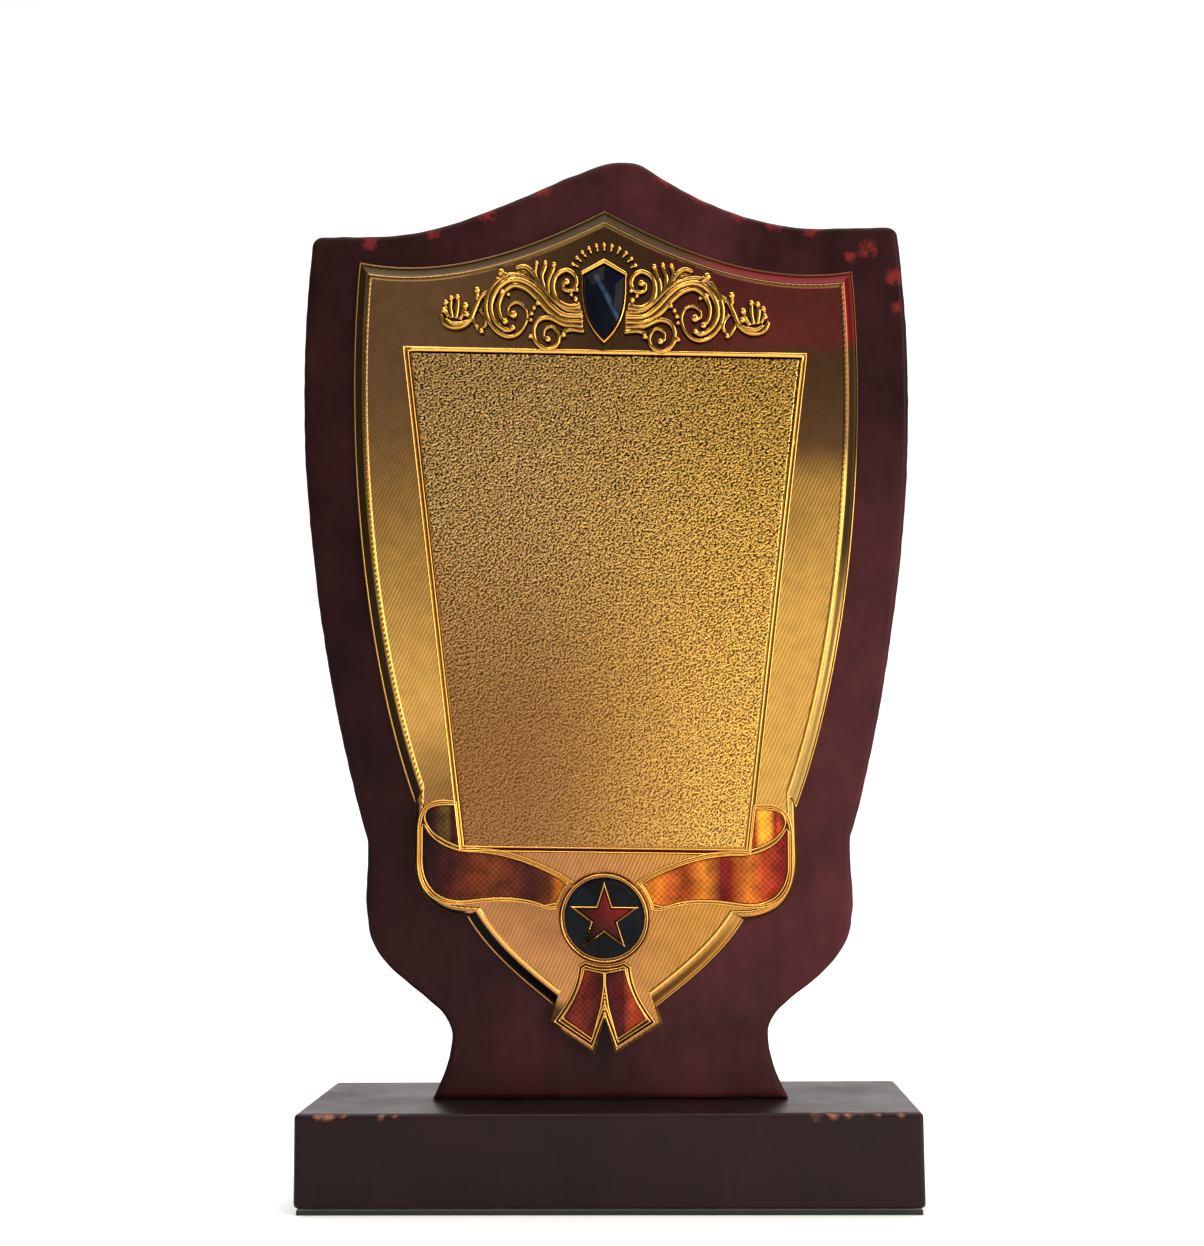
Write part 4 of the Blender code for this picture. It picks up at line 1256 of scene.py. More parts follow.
def mark_worn(piece: Thing, spots: Sequence[tuple[Sequence[float], float]]) -> None:
    """Stores how worn a painted piece is.

    Args:
        piece: the painted piece.
        spots: middles of the worn places in millimetres, each with its reach.
    """
    places = points_of(piece)
    worn = np.zeros(len(places))
    for middle, reach in spots:
        away = np.linalg.norm(places - middle, axis=1)
        worn = np.maximum(worn, fade(away, 0.0, reach))
    mark(piece, "worn", worn)


def mark_height(piece: Thing, node: str) -> None:
    """Stores how high each vertex stands between the node's back and front levels."""
    front, back = levels(node)
    mark(piece, "height", np.clip((back - points_of(piece)[:, 1]) / (back - front), 0, 1))


@dataclass
class PaintedBoard:
    """The shield cut from board, with its rounded edge and painted skin."""

    thickness: float = 12.0
    base_height: float = 20.0
    seat_gap: float = 0.3
    height: float = 205.0
    corner_rise: float = 189.0
    shoulder_rise: float = 156.0
    notch_rise: float = 55.0
    lobe_rise: float = 38.0
    neck_rise: float = 13.5
    shoulder_half: float = 66.7
    corner_half: float = 65.2
    notch_half: float = 52.0
    lobe_half: float = 51.9
    neck_half: float = 33.7
    foot_half: float = 37.8
    peak_offset: float = 4.2
    corner_radius: float = 2.5
    edge_round: float = 1.3
    saw_wander: float = 0.22
    peel_depth: float = 0.05
    pitch: float = 1.1
    worn_places: tuple[tuple[float, float, float], ...] = (
        (58.5, 204.0, 5.6), (54.5, 202.0, 4.2), (30.0, 213.5, 8.0), (22.0, 217.0, 7.5),
        (38.0, 210.5, 6.5), (46.0, 208.5, 5.5), (14.0, 221.0, 6.5), (-52.0, 207.0, 5.0),
        (-38.0, 209.5, 5.0), (-26.0, 213.5, 6.5), (-14.0, 219.0, 6.5), (64.0, 197.5, 5.6),
        (64.5, 190.5, 4.0))

    def outline(self) -> Outline:
        """The sawn edge, with the saw's wander worked in."""
        foot, top = self.base_height + self.seat_gap, self.base_height + self.height
        notch, lobe = self.base_height + self.notch_rise, self.base_height + self.lobe_rise
        neck, shoulder = self.base_height + self.neck_rise, self.base_height + self.shoulder_rise
        corner = self.base_height + self.corner_rise
        span = shoulder - notch
        flank = trace(
            (self.foot_half, foot),
            ((self.neck_half + 1.9, self.base_height + 4.5), (self.neck_half + 0.1, neck - 4.5),
             (self.neck_half, neck)),
            ((self.neck_half - 0.2, neck + 8), (self.lobe_half - 0.7, lobe - 13),
             (self.lobe_half, lobe)),
            ((self.lobe_half + 1.1, lobe + 5), (self.notch_half - 0.6, notch - 6),
             (self.notch_half, notch)),
            ((self.notch_half + 7, notch + 0.22 * span),
             (self.shoulder_half + 0.3, shoulder - 0.36 * span), (self.shoulder_half, shoulder)),
            ((self.shoulder_half + 0.1, shoulder + 12), (self.corner_half + 0.5, corner - 8),
             (self.corner_half, corner - self.corner_radius)))
        round_corner = arc((self.corner_half - self.corner_radius, corner - self.corner_radius),
                           self.corner_radius, 0, 90, 12)
        peak = self.peak_offset
        crown = trace(
            (48.0, corner),
            ((35.0, corner + 0.5), (peak + 20, top - 11.5), (peak + 4.8, top - 1)),
            ((peak + 2.3, top + 0.3), (peak - 2.2, top + 0.3), (peak - 5.2, top - 0.7)),
            ((peak - 21, top - 6.5), (-33.0, corner + 0.5), (-48.0, corner)))
        right = np.vstack((flank, round_corner[1:]))
        edge = evenly(np.vstack((right, crown, flipped(right))), 1200)
        wander = self.saw_wander * (0.5 + 0.5 * ripple(edge, (14.0, 5.0), 3))
        edge = edge + wander[:, None] * sideways(edge, False)
        return Outline(edge, trace(tuple(edge[-1]), tuple(edge[0])), pitch=0.7)

    def build(self) -> Thing:
        """Makes the board."""
        outline, half, bend = self.outline(), self.thickness / 2, self.edge_round
        relief = Relief(on_board)
        turns = np.radians(np.linspace(0, 90, 7))
        profile = [(bend * (1 - math.sin(turn)), half - bend + bend * math.cos(turn))
                   for turn in turns]
        sides = [(0.0, level) for level in np.arange(half - bend - 0.9, bend - half, -0.9)]
        profile += sides + [(inset, -level) for inset, level in reversed(profile)]
        rings = [relief.put(outline.ring(inset), level) for inset, level in profile]
        relief.cap(rings[0])
        relief.loft(rings)

        def skin(points: np.ndarray, edge: np.ndarray) -> np.ndarray:
            peel = 0.5 + 0.5 * ripple(points, (24.0, 9.0, 4.0), 5)
            return -self.peel_depth * peel * fade(edge, 3.0, 0.0)

        relief.fill(outline.ring(bend), -half, self.pitch, skin)
        piece = relief.piece("painted_board")
        return seat(piece, "painted_wood", "shield_board")

    def dress(self, piece: Thing) -> None:
        """Marks the rubbed places and paints the board.

        Args:
            piece: the board.
        """
        places = points_of(piece)
        front = places[:, 1].min()
        mark_worn(piece, [((x, front, z), reach) for x, z, reach in self.worn_places])
        mark(piece, "chipped", np.zeros(len(places)))
        mark(piece, "edge", fade(places[:, 1], front + 0.3, front + 0.02))
        BrushedPaint("maroon_brushed_paint").dress(piece)


@dataclass
class BaseBlock:
    """The block that the shield stands on, with knocked edges; the felt under it keeps its CAD shape.
    """

    width: float = 127.0
    depth: float = 50.0
    bottom: float = 1.3
    top: float = 20.0
    edge_round: float = 0.9
    wave_depth: float = 0.08
    chip_depth: float = 0.55
    edge_reach: float = 2.0
    chips: tuple[tuple[float, float, float], ...] = (
        (-58.6, 1.1, 0.6), (-56.4, 1.7, 0.7), (-53.4, 0.8, 0.4), (-45.6, 0.9, 0.5),
        (-42.8, 0.6, 0.4), (45.4, 1.5, 0.6), (48.4, 1.1, 0.5), (54.5, 0.7, 0.4), (59.0, 0.9, 0.5))
    rubbed: tuple[tuple[float, float, float], ...] = (
        (60.0, -20.0, 7.0), (50.0, -23.0, 6.0), (62.0, -6.0, 6.0), (62.0, 10.0, 5.0),
        (-61.0, -8.0, 5.0), (-57.0, -23.0, 5.0), (42.0, -24.0, 5.0))

    def build(self) -> Thing:
        """Makes the block."""
        half_x, half_y, bend = self.width / 2, self.depth / 2, self.edge_round
        corners = [arc((x * (half_x - bend), y * (half_y - bend)), bend, start, start + 90, 8)
                   for x, y, start in ((1, 1, 0), (-1, 1, 90), (-1, -1, 180), (1, -1, 270))]
        loop = np.vstack(corners + [corners[0][:1]])
        outline = Outline(loop, pitch=0.6)
        turns = np.radians(np.linspace(0, 90, 5))
        low = [(bend * (1 - math.sin(turn)), self.bottom + bend * (1 - math.cos(turn)))
               for turn in turns]
        high = [(inset, self.bottom + self.top - level) for inset, level in reversed(low)]
        sides = [(0.0, level) for level in np.arange(self.bottom + bend, self.top - bend, 0.9)[1:]]
        relief = Relief(on_plan)
        rings = [relief.put(outline.ring(inset), level) for inset, level in low + sides + high]
        relief.cap(rings[0])
        relief.loft(rings)
        relief.fill(outline.ring(bend), self.top, 1.0)
        piece = relief.piece("painted_base", crease=60.0)
        return seat(piece, "painted_wood", "base_block")

    def dress(self, piece: Thing) -> None:
        """Knocks chips out of the front top edge, then paints the block.

        Args:
            piece: the block.
        """
        places = points_of(piece)
        chipped = np.zeros(len(places))
        rough = ripple(places[:, [0, 2]] + places[:, [1]], (2.4, 1.1), 11)
        for x, reach, depth in self.chips:
            away = np.sqrt(((places[:, 0] - x) / reach) ** 2
                           + ((places[:, 1] + self.depth / 2) / (1.1 * depth + 0.5)) ** 2
                           + ((places[:, 2] - self.top) / (1.1 * depth + 0.5)) ** 2)
            chipped = np.maximum(chipped, fade(away + 0.25 * rough, 0.2, 1.15) * depth)
        waves = self.wave_depth * (0.5 + 0.5 * ripple(places[:, [0, 2]], (30.0, 9.0), 12))
        mark_worn(piece, [((x, y, self.top), reach) for x, y, reach in self.rubbed])
        for index, vertex in enumerate(piece.data.vertices):
            _, y, z = places[index]
            sunk = self.chip_depth * chipped[index]
            if y < -self.depth / 2 + self.edge_reach:
                vertex.co.y += MM * (sunk + waves[index])
            if z > self.top - self.edge_reach:
                vertex.co.z -= MM * sunk
        mark(piece, "chipped", np.clip(chipped * 2.2, 0, 1))
        mark(piece, "edge", np.zeros(len(places)))
        # The base gets only a little painted shade on its left
        BrushedPaint("maroon_brushed_base", deep="#180e10", warm="#281517", shadow=0.85,
                     gloss=0.12, worn="#5c3a32", bare="#7a4e3c").dress(piece)


@dataclass
class GiltSheet:
    """The stamped foil shield, with its rolled lip, dished rim and beaded line."""

    wall: float = 0.4
    pitch: float = 0.3
    rim: tuple[Point, ...] = (
        (0.0, 1.90), (0.0, 1.60), (0.06, 1.42), (0.18, 1.30), (0.32, 1.30), (0.45, 1.40),
        (0.55, 1.50), (0.75, 1.46), (1.1, 1.20), (1.5, 0.80), (1.9, 0.42), (2.25, 0.15),
        (2.5, 0.02), (2.65, 0.0))
    bead_inset: float = 2.7
    bead_width: float = 0.85
    bead_rise: float = 0.3
    bead_pitch: float = 1.25
    warp: float = 0.04
    lobe_round: float = 1.9
    fill_pitch: float = 2.5
    shares: tuple[float, ...] = (1.0, 0.92, 0.6, 1.0, 0.16, 0.16, 0.16)

    def outline(self) -> Outline:
        """The foil's cut edge: a shield with the ribbon's lobes and tails in its silhouette."""
        return Outline.mirrored(
            trace((0.0, DRAWN_TOP), ((17.5, 203.8), (36.0, 197.0), (54.5, 200.6))),
            trace((54.5, 200.6), ((57.3, 167.0), (54.0, 117.0), (40.9, FOLD_TOP - 0.5))),
            trace((40.9, FOLD_TOP - 0.5), (41.1, 72.0), ((41.2, 63.5), (37.2, 58.3), (29.5, 58.1))),
            trace((29.5, 58.1), ((25.0, 50.7), (17.9, 45.1), (11.0, 39.7))),
            trace((11.0, 39.7), (12.1, 36.4)),
            trace((12.1, 36.4), (2.25, DRAWN_FOOT)), trace((2.25, DRAWN_FOOT), (0.0, 37.5)),
            pitch=self.pitch, shares=self.shares)

    def build(self) -> Thing:
        """Makes the foil: a thin shell with the same relief behind."""
        outline = self.outline()
        plateau = levels("shield_sheet")[0] + self.bead_rise
        lobe = outline.by_stretch([float(index in (2, 11)) for index in range(14)])
        profile: list[tuple] = []
        for inset, drop in self.rim:
            round_over = self.lobe_round * (1 - min(inset / 1.7, 1.0)) ** 2.2
            profile.append((inset, plateau + drop + lobe * (min(round_over, drop) - drop)))
        swell = 0.35 + 0.65 * (0.5 + 0.5 * np.cos(2 * math.pi * outline.along / self.bead_pitch))
        across, up = outline.ring(0.0).T
        plain = np.maximum(fade(up, 201.5, 199.0), fade(up, 56.0, 58.5))
        plain = np.maximum(plain, fade(across, 10.0, 0.0) * fade(up, 128.0, 138.0))
        swell = (swell + (1 - swell) * plain) * (1 - 0.6 * fade(up, 56.0, 58.5))
        for turn in np.radians(np.linspace(15, 165, 6)):
            inset = self.bead_inset + self.bead_width * (1 - math.cos(turn)) / 2
            profile.append((inset, plateau - self.bead_rise * math.sin(turn) * swell))
        flat = self.bead_inset + self.bead_width
        profile += [(flat + 0.05, plateau), (flat + 0.12, plateau), (flat + 0.25, plateau)]
        relief = Relief()
        front = [relief.put(outline.ring(inset), level) for inset, level in profile]
        behind = [relief.put(outline.ring(max(inset, 0.05)), level + self.wall)
                  for inset, level in profile[1:]]
        relief.loft([behind[0]] + front)
        relief.loft(behind)
        ring = outline.ring(profile[-1][0])

        def buckle(points: np.ndarray, edge: np.ndarray) -> np.ndarray:
            return self.warp * ripple(points, (70.0, 38.0), 21) * fade(edge, 8.0, 0.0)

        for level in (plateau, plateau + self.wall):
            relief.fill(ring, level, self.fill_pitch, buckle)
        return seat(relief.piece("gilt_sheet_foil", crease=55.0), "gilt_sheet", "shield_sheet")

    def dress(self, piece: Thing) -> None:
        """Marks the rim, the raised lines and the hatched field, then plates the foil.

        Args:
            piece: the foil.
        """
        plateau = levels("shield_sheet")[0] + self.bead_rise
        places = points_of(piece)
        edge = on_front(self.outline().ring(0.0), 0.0)[:, [0, 2]] / MM
        away = clearance(places[:, [0, 2]], edge)
        depth = places[:, 1] - plateau
        lip = fade(away, 0.28, 0.42)
        lobe = fade(np.abs(places[:, 0]), 31.0, 29.5) * fade(places[:, 2], 82.5, 84.0)
        rim = np.maximum(fade(depth, 0.12, 0.0), lobe * fade(away, 1.15, 1.3)) * (1 - lip)
        stub = fade(np.abs(places[:, 0]), 10.5, 9.5) * fade(places[:, 2], 39.5, 41.5)
        rim = np.maximum(rim, 0.85 * stub)
        bead = fade(depth, -0.12, -0.04) * fade(away, 4.5, 5.5) * (1 - stub)
        # The rim, and the stub between the tails, take the finish's painted shade
        mark(piece, "rim", rim)
        # Painted highlight: the rolled lip shows a bright line, stronger on the right and at the top,
        # weaker at the foot
        shown = 0.4 + 0.35 * np.maximum(fade(places[:, 0], 8.0, -8.0),
                                        fade(places[:, 2], 206.0, 198.0))
        shown *= 1 - 0.8 * fade(places[:, 0], 2.0, 12.0) * fade(places[:, 2], 56.0, 60.0)
        mark(piece, "line", np.clip(shown * lip + bead, 0, 1))
        mark(piece, "field", np.clip(1 - rim - bead - lip, 0, 1))
        StampedGilt("brass_foil_hatched").dress(piece)


@dataclass
class LetteringPanel:
    """The tapered lettering field: its moulded border and its sand-grained plate."""

    border: float = 1.4
    pitch: float = 0.3
    relief: float = 0.14
    grain_length: float = 0.62
    grain_spread: float = 0.6
    seed: int = 4

    def corners(self) -> list[Point]:
        """Corners of the border's inner edge, from the bottom left."""
        return [(-PANEL_BOTTOM_HALF, PANEL_BOTTOM), (PANEL_BOTTOM_HALF, PANEL_BOTTOM),
                (PANEL_TOP_HALF, PANEL_TOP), (-PANEL_TOP_HALF, PANEL_TOP)]

    def build_border(self) -> Thing:
        """Makes the border: two raised lines with a valley between."""
        outline = Outline.polygon(self.corners(), pitch=0.8)
        front, back = levels("panel_border")
        valley = outline.by_stretch((0.65, 0.3, 0.0, 0.4))
        crown = outline.by_stretch((0.0, 0.0, 0.35, 0.0))
        profile = ((0.0, back), (-0.05, front + 0.35 + crown), (-0.12, front + 0.08 + crown),
                   (-0.25, front + 0.55 * crown), (-0.4, front + 0.12 * valley + 0.3 * crown),
                   (-0.52, front + 0.8 * valley + 0.1 * crown), (-0.75, front + valley),
                   (-0.92, front + 0.8 * valley + 0.1 * crown),
                   (-1.04, front + 0.12 * valley + 0.3 * crown), (-1.15, front + 0.55 * crown),
                   (-1.28, front + 0.1 + crown), (-1.36, front + 0.35 + crown),
                   (-self.border, back))
        relief = Relief()
        relief.moulding(outline, profile)
        piece = relief.piece("panel_moulding", crease=60.0)
        return seat(piece, "gilt_trim", "panel_border")

    def grain(self, rows: int, columns: int) -> np.ndarray:
        """A sand grain of one length, as heights between 0 and 1.

        Args:
            rows: points up the plate.
            columns: points across it.

        Returns:
            One height for each point.
        """
        noise = np.random.default_rng(self.seed).standard_normal((rows, columns))
        waves = np.hypot(np.fft.fftfreq(rows, self.pitch)[:, None],
                         np.fft.rfftfreq(columns, self.pitch)[None])
        centre = 1.0 / self.grain_length
        band = np.exp(-((waves - centre) / (self.grain_spread * centre)) ** 2)
        grain = np.fft.irfft2(np.fft.rfft2(noise) * band, s=(rows, columns))
        return 0.5 + 0.5 * np.tanh(1.1 * grain / grain.std())

    def build_plate(self) -> Thing:
        """Makes the plate, with its grain in the mesh."""
        front, back = levels("text_plate")
        one_chord = 500.0
        left_low, right_low, right_high, left_high = Outline.polygon(
            self.corners(), pitch=one_chord).ring(GAP)
        rows = round((left_high[1] - left_low[1]) / self.pitch)
        columns = round((right_high[0] - left_high[0] + right_low[0] - left_low[0]) / 2 / self.pitch)
        up, across = np.linspace(0, 1, rows)[:, None, None], np.linspace(0, 1, columns)[None, :, None]
        drawn = ((1 - across) * ((1 - up) * left_low + up * left_high)
                 + across * ((1 - up) * right_low + up * right_high))
        grain = self.grain(rows, columns)
        level = front + self.relief * (1 - grain)
        relief = Relief()
        grid = relief.put(drawn.reshape(-1, 2), level.ravel()).reshape(rows, columns)
        relief.loft([grid[row] for row in range(rows)], closed=False)
        edge = np.concatenate((grid[0], grid[1:, -1], grid[-1, -2::-1], grid[-2:0:-1, 0]))
        border = drawn.reshape(-1, 2)[edge]
        bottom = relief.put(border, back)
        relief.loft([edge, bottom])
        relief.cap(bottom)
        piece = relief.piece("grained_plate", crease=180.0)
        # Heights let the finish paint shade in the grain's pits
        heights = (front + self.relief - points_of(piece)[:, 1]) / self.relief
        mark(piece, "height", np.clip(heights, 0, 1))
        return seat(piece, "grained_gilt", "text_plate")

    def dress(self, border: Thing, plate: Thing) -> None:
        """Plates both pieces."""
        # Painted shade in the border's valley
        PolishedGilt("brass_border_polished", hollow="#7a5428").dress(border)
        GrainedGilt("brass_grained").dress(plate)


@dataclass(frozen=True)
class Strand:
    """One fluted strand of the scrolls: where it runs, and how wide it is along the way."""

    line: tuple[Point, ...]
    start: float = 0.9
    middle: float = 1.0
    end: float = 0.5
    crest: float = 1.0


@dataclass
class HeadOrnament:
    """The gem in its bezel, the row of drop beads over it and the scrolls on each side."""

    gem_facet: float = 0.9
    bead_count: int = 11
    bead_pitch: float = 13.4
    bead_ring: float = 7.0
    bead_centre: Point = (0.0, 197.3)
    voxel: float = 0.17
    fullness: float = 1.45
    bead_fullness: float = 1.35
    rooted: float = 0.15
    strands: tuple[Strand, ...] = (
        Strand(((4.7, 189.5), (8.2, 189.9), (10.8, 191.8), (14.0, 195.0), (17.2, 197.0),
                (20.7, 197.5), (23.4, 196.0), (25.3, 193.2), (26.0, 190.1), (25.2, 186.9),
                (23.2, 184.5), (20.7, 183.6), (18.4, 184.8), (17.0, 187.6), (17.4, 190.2),
                (19.2, 191.3), (20.9, 190.4), (21.1, 188.8), (20.0, 188.3)), 0.8, 0.9, 0.6),
        Strand(((4.6, 188.5), (8.6, 188.7), (11.4, 190.6), (14.2, 193.7), (17.0, 195.8),
                (20.2, 196.4), (22.8, 195.0), (24.5, 192.2), (24.8, 189.3), (23.6, 186.6),
                (21.4, 185.1), (19.8, 185.5)), 0.9, 1.0, 0.9, 1.15),
        Strand(((4.6, 187.4), (9.0, 187.6), (12.2, 189.6), (14.6, 192.4), (17.2, 194.6),
                (19.9, 195.2), (22.0, 193.7), (23.1, 191.2), (22.9, 188.7), (21.9, 186.9)),
               0.9, 1.1, 0.8, 1.05),
        Strand(((4.6, 186.3), (8.6, 186.6), (11.8, 188.0), (14.2, 187.6), (15.4, 185.6),
                (15.0, 182.8), (12.9, 181.0), (10.6, 181.8), (9.9, 184.0), (11.2, 186.0),
                (13.0, 185.4), (13.2, 183.7), (12.3, 183.0)), 0.9, 0.9, 0.6),
        Strand(((4.4, 185.2), (7.2, 185.5), (8.8, 185.0), (9.0, 184.2)), 0.8, 0.8, 0.9, 0.9),
        Strand(((5.2, 190.8), (8.0, 190.5), (10.2, 191.8), (11.2, 194.6), (10.6, 197.4),
                (8.4, 198.8), (6.5, 197.8), (6.0, 195.8), (7.1, 194.2), (8.8, 194.5),
                (9.1, 196.0), (8.3, 196.5)), 1.4, 0.9, 0.7, 1.1),
        Strand(((12.2, 193.0), (12.3, 196.0), (11.4, 198.6), (11.0, 199.8)), 0.7, 0.8, 0.9),
        Strand(((13.0, 194.2), (13.7, 197.2), (13.1, 199.2), (12.9, 200.2)), 0.7, 0.8, 0.9),
        Strand(((13.6, 194.8), (15.1, 197.8), (15.0, 199.4), (14.8, 200.1)), 0.7, 0.7, 0.8),
        Strand(((14.2, 195.2), (15.7, 198.0), (17.6, 199.5), (19.5, 199.0)), 0.8, 1.0, 0.7),
        Strand(((15.6, 196.4), (17.2, 198.1), (19.0, 198.2)), 0.8, 0.8, 0.5, 0.9),
        Strand(((21.4, 196.6), (22.5, 198.1)), 1.0, 1.2, 1.0, 1.15),
        Strand(((23.4, 196.8), (25.2, 193.9), (27.1, 192.4), (28.3, 190.0), (29.4, 187.3),
                (31.2, 185.8), (33.2, 185.5), (35.0, 186.3), (35.9, 188.2)), 0.7, 0.9, 0.9),
        Strand(((29.9, 186.9), (31.6, 186.3), (33.4, 186.3), (34.8, 187.3)), 0.7, 0.9, 0.6, 1.1),
        Strand(((28.0, 191.8), (27.9, 193.4)), 0.6, 0.8, 1.0, 1.1),
        Strand(((27.4, 189.6), (26.2, 188.0), (26.1, 186.2), (27.2, 185.3)), 0.6, 0.8, 0.7, 0.9),
        Strand(((28.9, 187.8), (28.3, 186.4), (27.4, 184.9)), 0.6, 0.7, 0.8, 0.9),
        Strand(((31.8, 187.2), (30.9, 188.8), (30.4, 190.3)), 0.8, 0.8, 0.9),
        Strand(((32.6, 187.4), (32.2, 190.0), (32.2, 192.1)), 0.8, 0.8, 0.9),
        Strand(((33.4, 187.5), (33.8, 190.0), (33.7, 191.8)), 0.8, 0.8, 0.9),
        Strand(((34.2, 187.8), (34.9, 189.4), (34.9, 190.8)), 0.7, 0.8, 0.8))
    beads: tuple[tuple[float, float, float], ...] = (
        (19.9, 188.6, 1.5), (12.3, 183.2, 1.2), (8.2, 196.2, 1.3), (8.9, 184.2, 1.0),
        (11.0, 200.0, 1.0), (12.9, 200.4, 0.9), (14.8, 200.2, 0.9), (22.6, 198.0, 1.4),
        (27.9, 193.9, 1.2), (30.4, 190.4, 1.2), (32.2, 192.3, 1.0), (33.6, 192.0, 1.0),
        (34.8, 191.0, 1.0), (30.2, 188.4, 1.1), (35.2, 189.2, 1.0), (26.9, 184.7, 1.0),
        (16.2, 183.7, 0.9), (14.6, 191.2, 0.9), (15.4, 190.1, 0.9), (15.9, 188.8, 0.9),
        (16.1, 187.4, 0.8), (6.2, 192.3, 1.0), (7.2, 193.2, 0.8), (5.9, 194.3, 0.8),
        (21.7, 187.0, 1.2), (22.4, 193.6, 0.9), (20.0, 185.6, 1.1), (21.0, 193.0, 0.8))

    def build_scroll(self, side: float, name: str, node: str) -> Thing:
        """Makes the scrolls of one side.

        Args:
            side: 1 on the right and -1 on the left.
            name: name of the piece.
            node: the CAD node that it stands in for.

        Returns:
            The scrolls.
        """
        front, back = levels(node)
        relief = Relief(on_crest)
        deep = back + self.rooted
        for strand in self.strands:
            line = smooth([(side * x, z) for x, z in strand.line], 0.3)
            share = np.linspace(0, 1, len(line))
            widths = self.fullness * np.interp(share, (0, 0.45, 1),
                                               (strand.start, strand.middle, strand.end))
            heights = (back - front) * strand.crest * np.interp(share, (0, 0.6, 1), (0.8, 0.85, 0.7))
            relief.strand(line, widths, deep, np.maximum(back - heights, front))
        for x, z, size in self.beads:
            width = self.bead_fullness * size
            relief.bead((side * x, z), (width, width), deep, front)
        piece = fused(relief.piece(name), self.voxel, 2)
        return seat(piece, "gilt_trim", node)

    def build_beads(self) -> Thing:
        """Makes the row of drop beads on an arc over the gem."""
        front, back = levels("crest_beads")
        relief = Relief(on_crest)
        for index in range(self.bead_count):
            turn = (index - (self.bead_count - 1) / 2) * self.bead_pitch
            away = np.array((math.sin(math.radians(turn)), math.cos(math.radians(turn))))
            centre = np.array(self.bead_centre)
            relief.bead(tuple(centre + away * (self.bead_ring + 0.45)), (0.95, 1.1), back, front,
                        turn)
            relief.bead(tuple(centre + away * (self.bead_ring - 0.35)), (0.6, 1.3), back,
                        front + 0.15, turn)
        piece = fused(relief.piece("crest_drops"), 0.1, 1)
        return seat(piece, "gilt_trim", "crest_beads")

    def build_bezel(self) -> Thing:
        """Makes the bezel, wider along its gable."""
        front, back = levels("gem_bezel")
        outer = Outline.mirrored(
            trace((0.0, 201.8), (5.3, 198.6)),
            trace((5.3, 198.6), (5.0, 197.2), ((5.3, 191.0), (4.5, 186.4), (0.0, 182.2))),
            pitch=0.35)
        inner = Outline.mirrored(
            trace((0.0, 199.8), (4.2, 197.4)),
            trace((4.2, 197.4), ((4.3, 191.0), (3.6, 187.0), (0.0, 183.7))), pitch=0.35, like=outer)
        start, end = outer.ring(0.0), inner.ring(-GAP)
        relief = Relief(on_crest)
        section = ((0.0, back), (0.0, back - 0.5), (0.08, back - 0.9), (0.22, front + 0.25),
                   (0.4, front + 0.04), (0.58, front), (0.76, front + 0.12), (0.9, front + 0.4),
                   (0.97, front + 0.8), (1.0, back - 0.4), (1.0, back))
        rings = [relief.put(start + share * (end - start), level) for share, level in section]
        relief.loft(rings + rings[:1])
        return seat(relief.piece("gem_setting", crease=50.0), "gilt_trim", "gem_bezel")

    def build_gem(self) -> Thing:
        """Makes the cut stone: a girdle and flat facets up to a short ridge."""
        front, back = levels("gem_stone")
        edge = np.array([(0.0, 199.8), (2.2, 198.6), (4.2, 197.4), (4.2, 193.5), (3.6, 189.4),
                         (2.2, 186.2), (0.0, 183.7), (-2.2, 186.2), (-3.6, 189.4), (-4.2, 193.5),
                         (-4.2, 197.4), (-2.2, 198.6)])
        ridge = np.array([(-0.5, 195.6), (0.6, 190.0)])
        relief = Relief(on_crest)
        low, girdle = relief.put(edge, back), relief.put(edge, front + self.gem_facet)
        table = relief.put(edge + 0.42 * (np.array([(0.0, 192.2)]) - edge), front + 0.3)
        top = relief.put(ridge, front)
        relief.cap(low)
        relief.loft([low, girdle, table])
        order = (0, 0, 0, 0, 1, 1, 1, 1, 1, 0, 0, 0)
        for index, near in enumerate(order):
            after = (index + 1) % len(order)
            face = [table[index], table[after], top[order[after]]]
            if order[after] != near:
                face.append(top[near])
            relief.faces.append(tuple(int(corner) for corner in face))
        return seat(relief.piece("cut_gem", crease=1.0), "dark_glass", "gem_stone")

    def dress(self, gilt: Sequence[Thing], gem: Thing) -> None:
        """Plates the metal pieces and darkens the glass.

        Args:
            gilt: the metal pieces.
            gem: the cut stone.
        """
        # Deeper painted shade in the scrolls' hollows
        PolishedGilt("brass_ornament_polished", crest="#d6a04c", low=0.34, high=0.84,
                     roughness=0.14).dress(*gilt)
        NavyGlass("navy_cut_glass").dress(gem)


def folded(axis: int, crest: float, pitch: float, depth: float, eased: float) -> Rise:
    """Makes the rise of a face that swells in even folds.

    Args:
        axis: 0 for folds one beside the other, 1 for folds one over the other.
        crest: where one of them meets the plain face.
        pitch: distance between folds.
        depth: how deep they are.
        eased: distance from the edge over which they begin.

    Returns:
        A function of points and their distance from the edge.
    """
    def rise(points: np.ndarray, edge: np.ndarray) -> np.ndarray:
        waves = np.cos(2 * math.pi * (np.abs(points[:, axis]) - crest) / pitch)
        return -depth * (0.5 - 0.5 * waves) * fade(edge, eased, 0.0)

    return rise


def round_medallion(gap: float, start: float, end: float) -> np.ndarray:
    """An arc that clears the medallion by a gap; degrees as on the right-hand side."""
    return arc(MEDALLION_CENTRE, MEDALLION_RADIUS + gap, start, end, 24)


def off_medallion(gap: float, angle: float) -> Point:
    """Drawn point at a gap from the medallion's edge, in a direction in degrees."""
    return tuple(round_medallion(gap, angle, angle)[0])


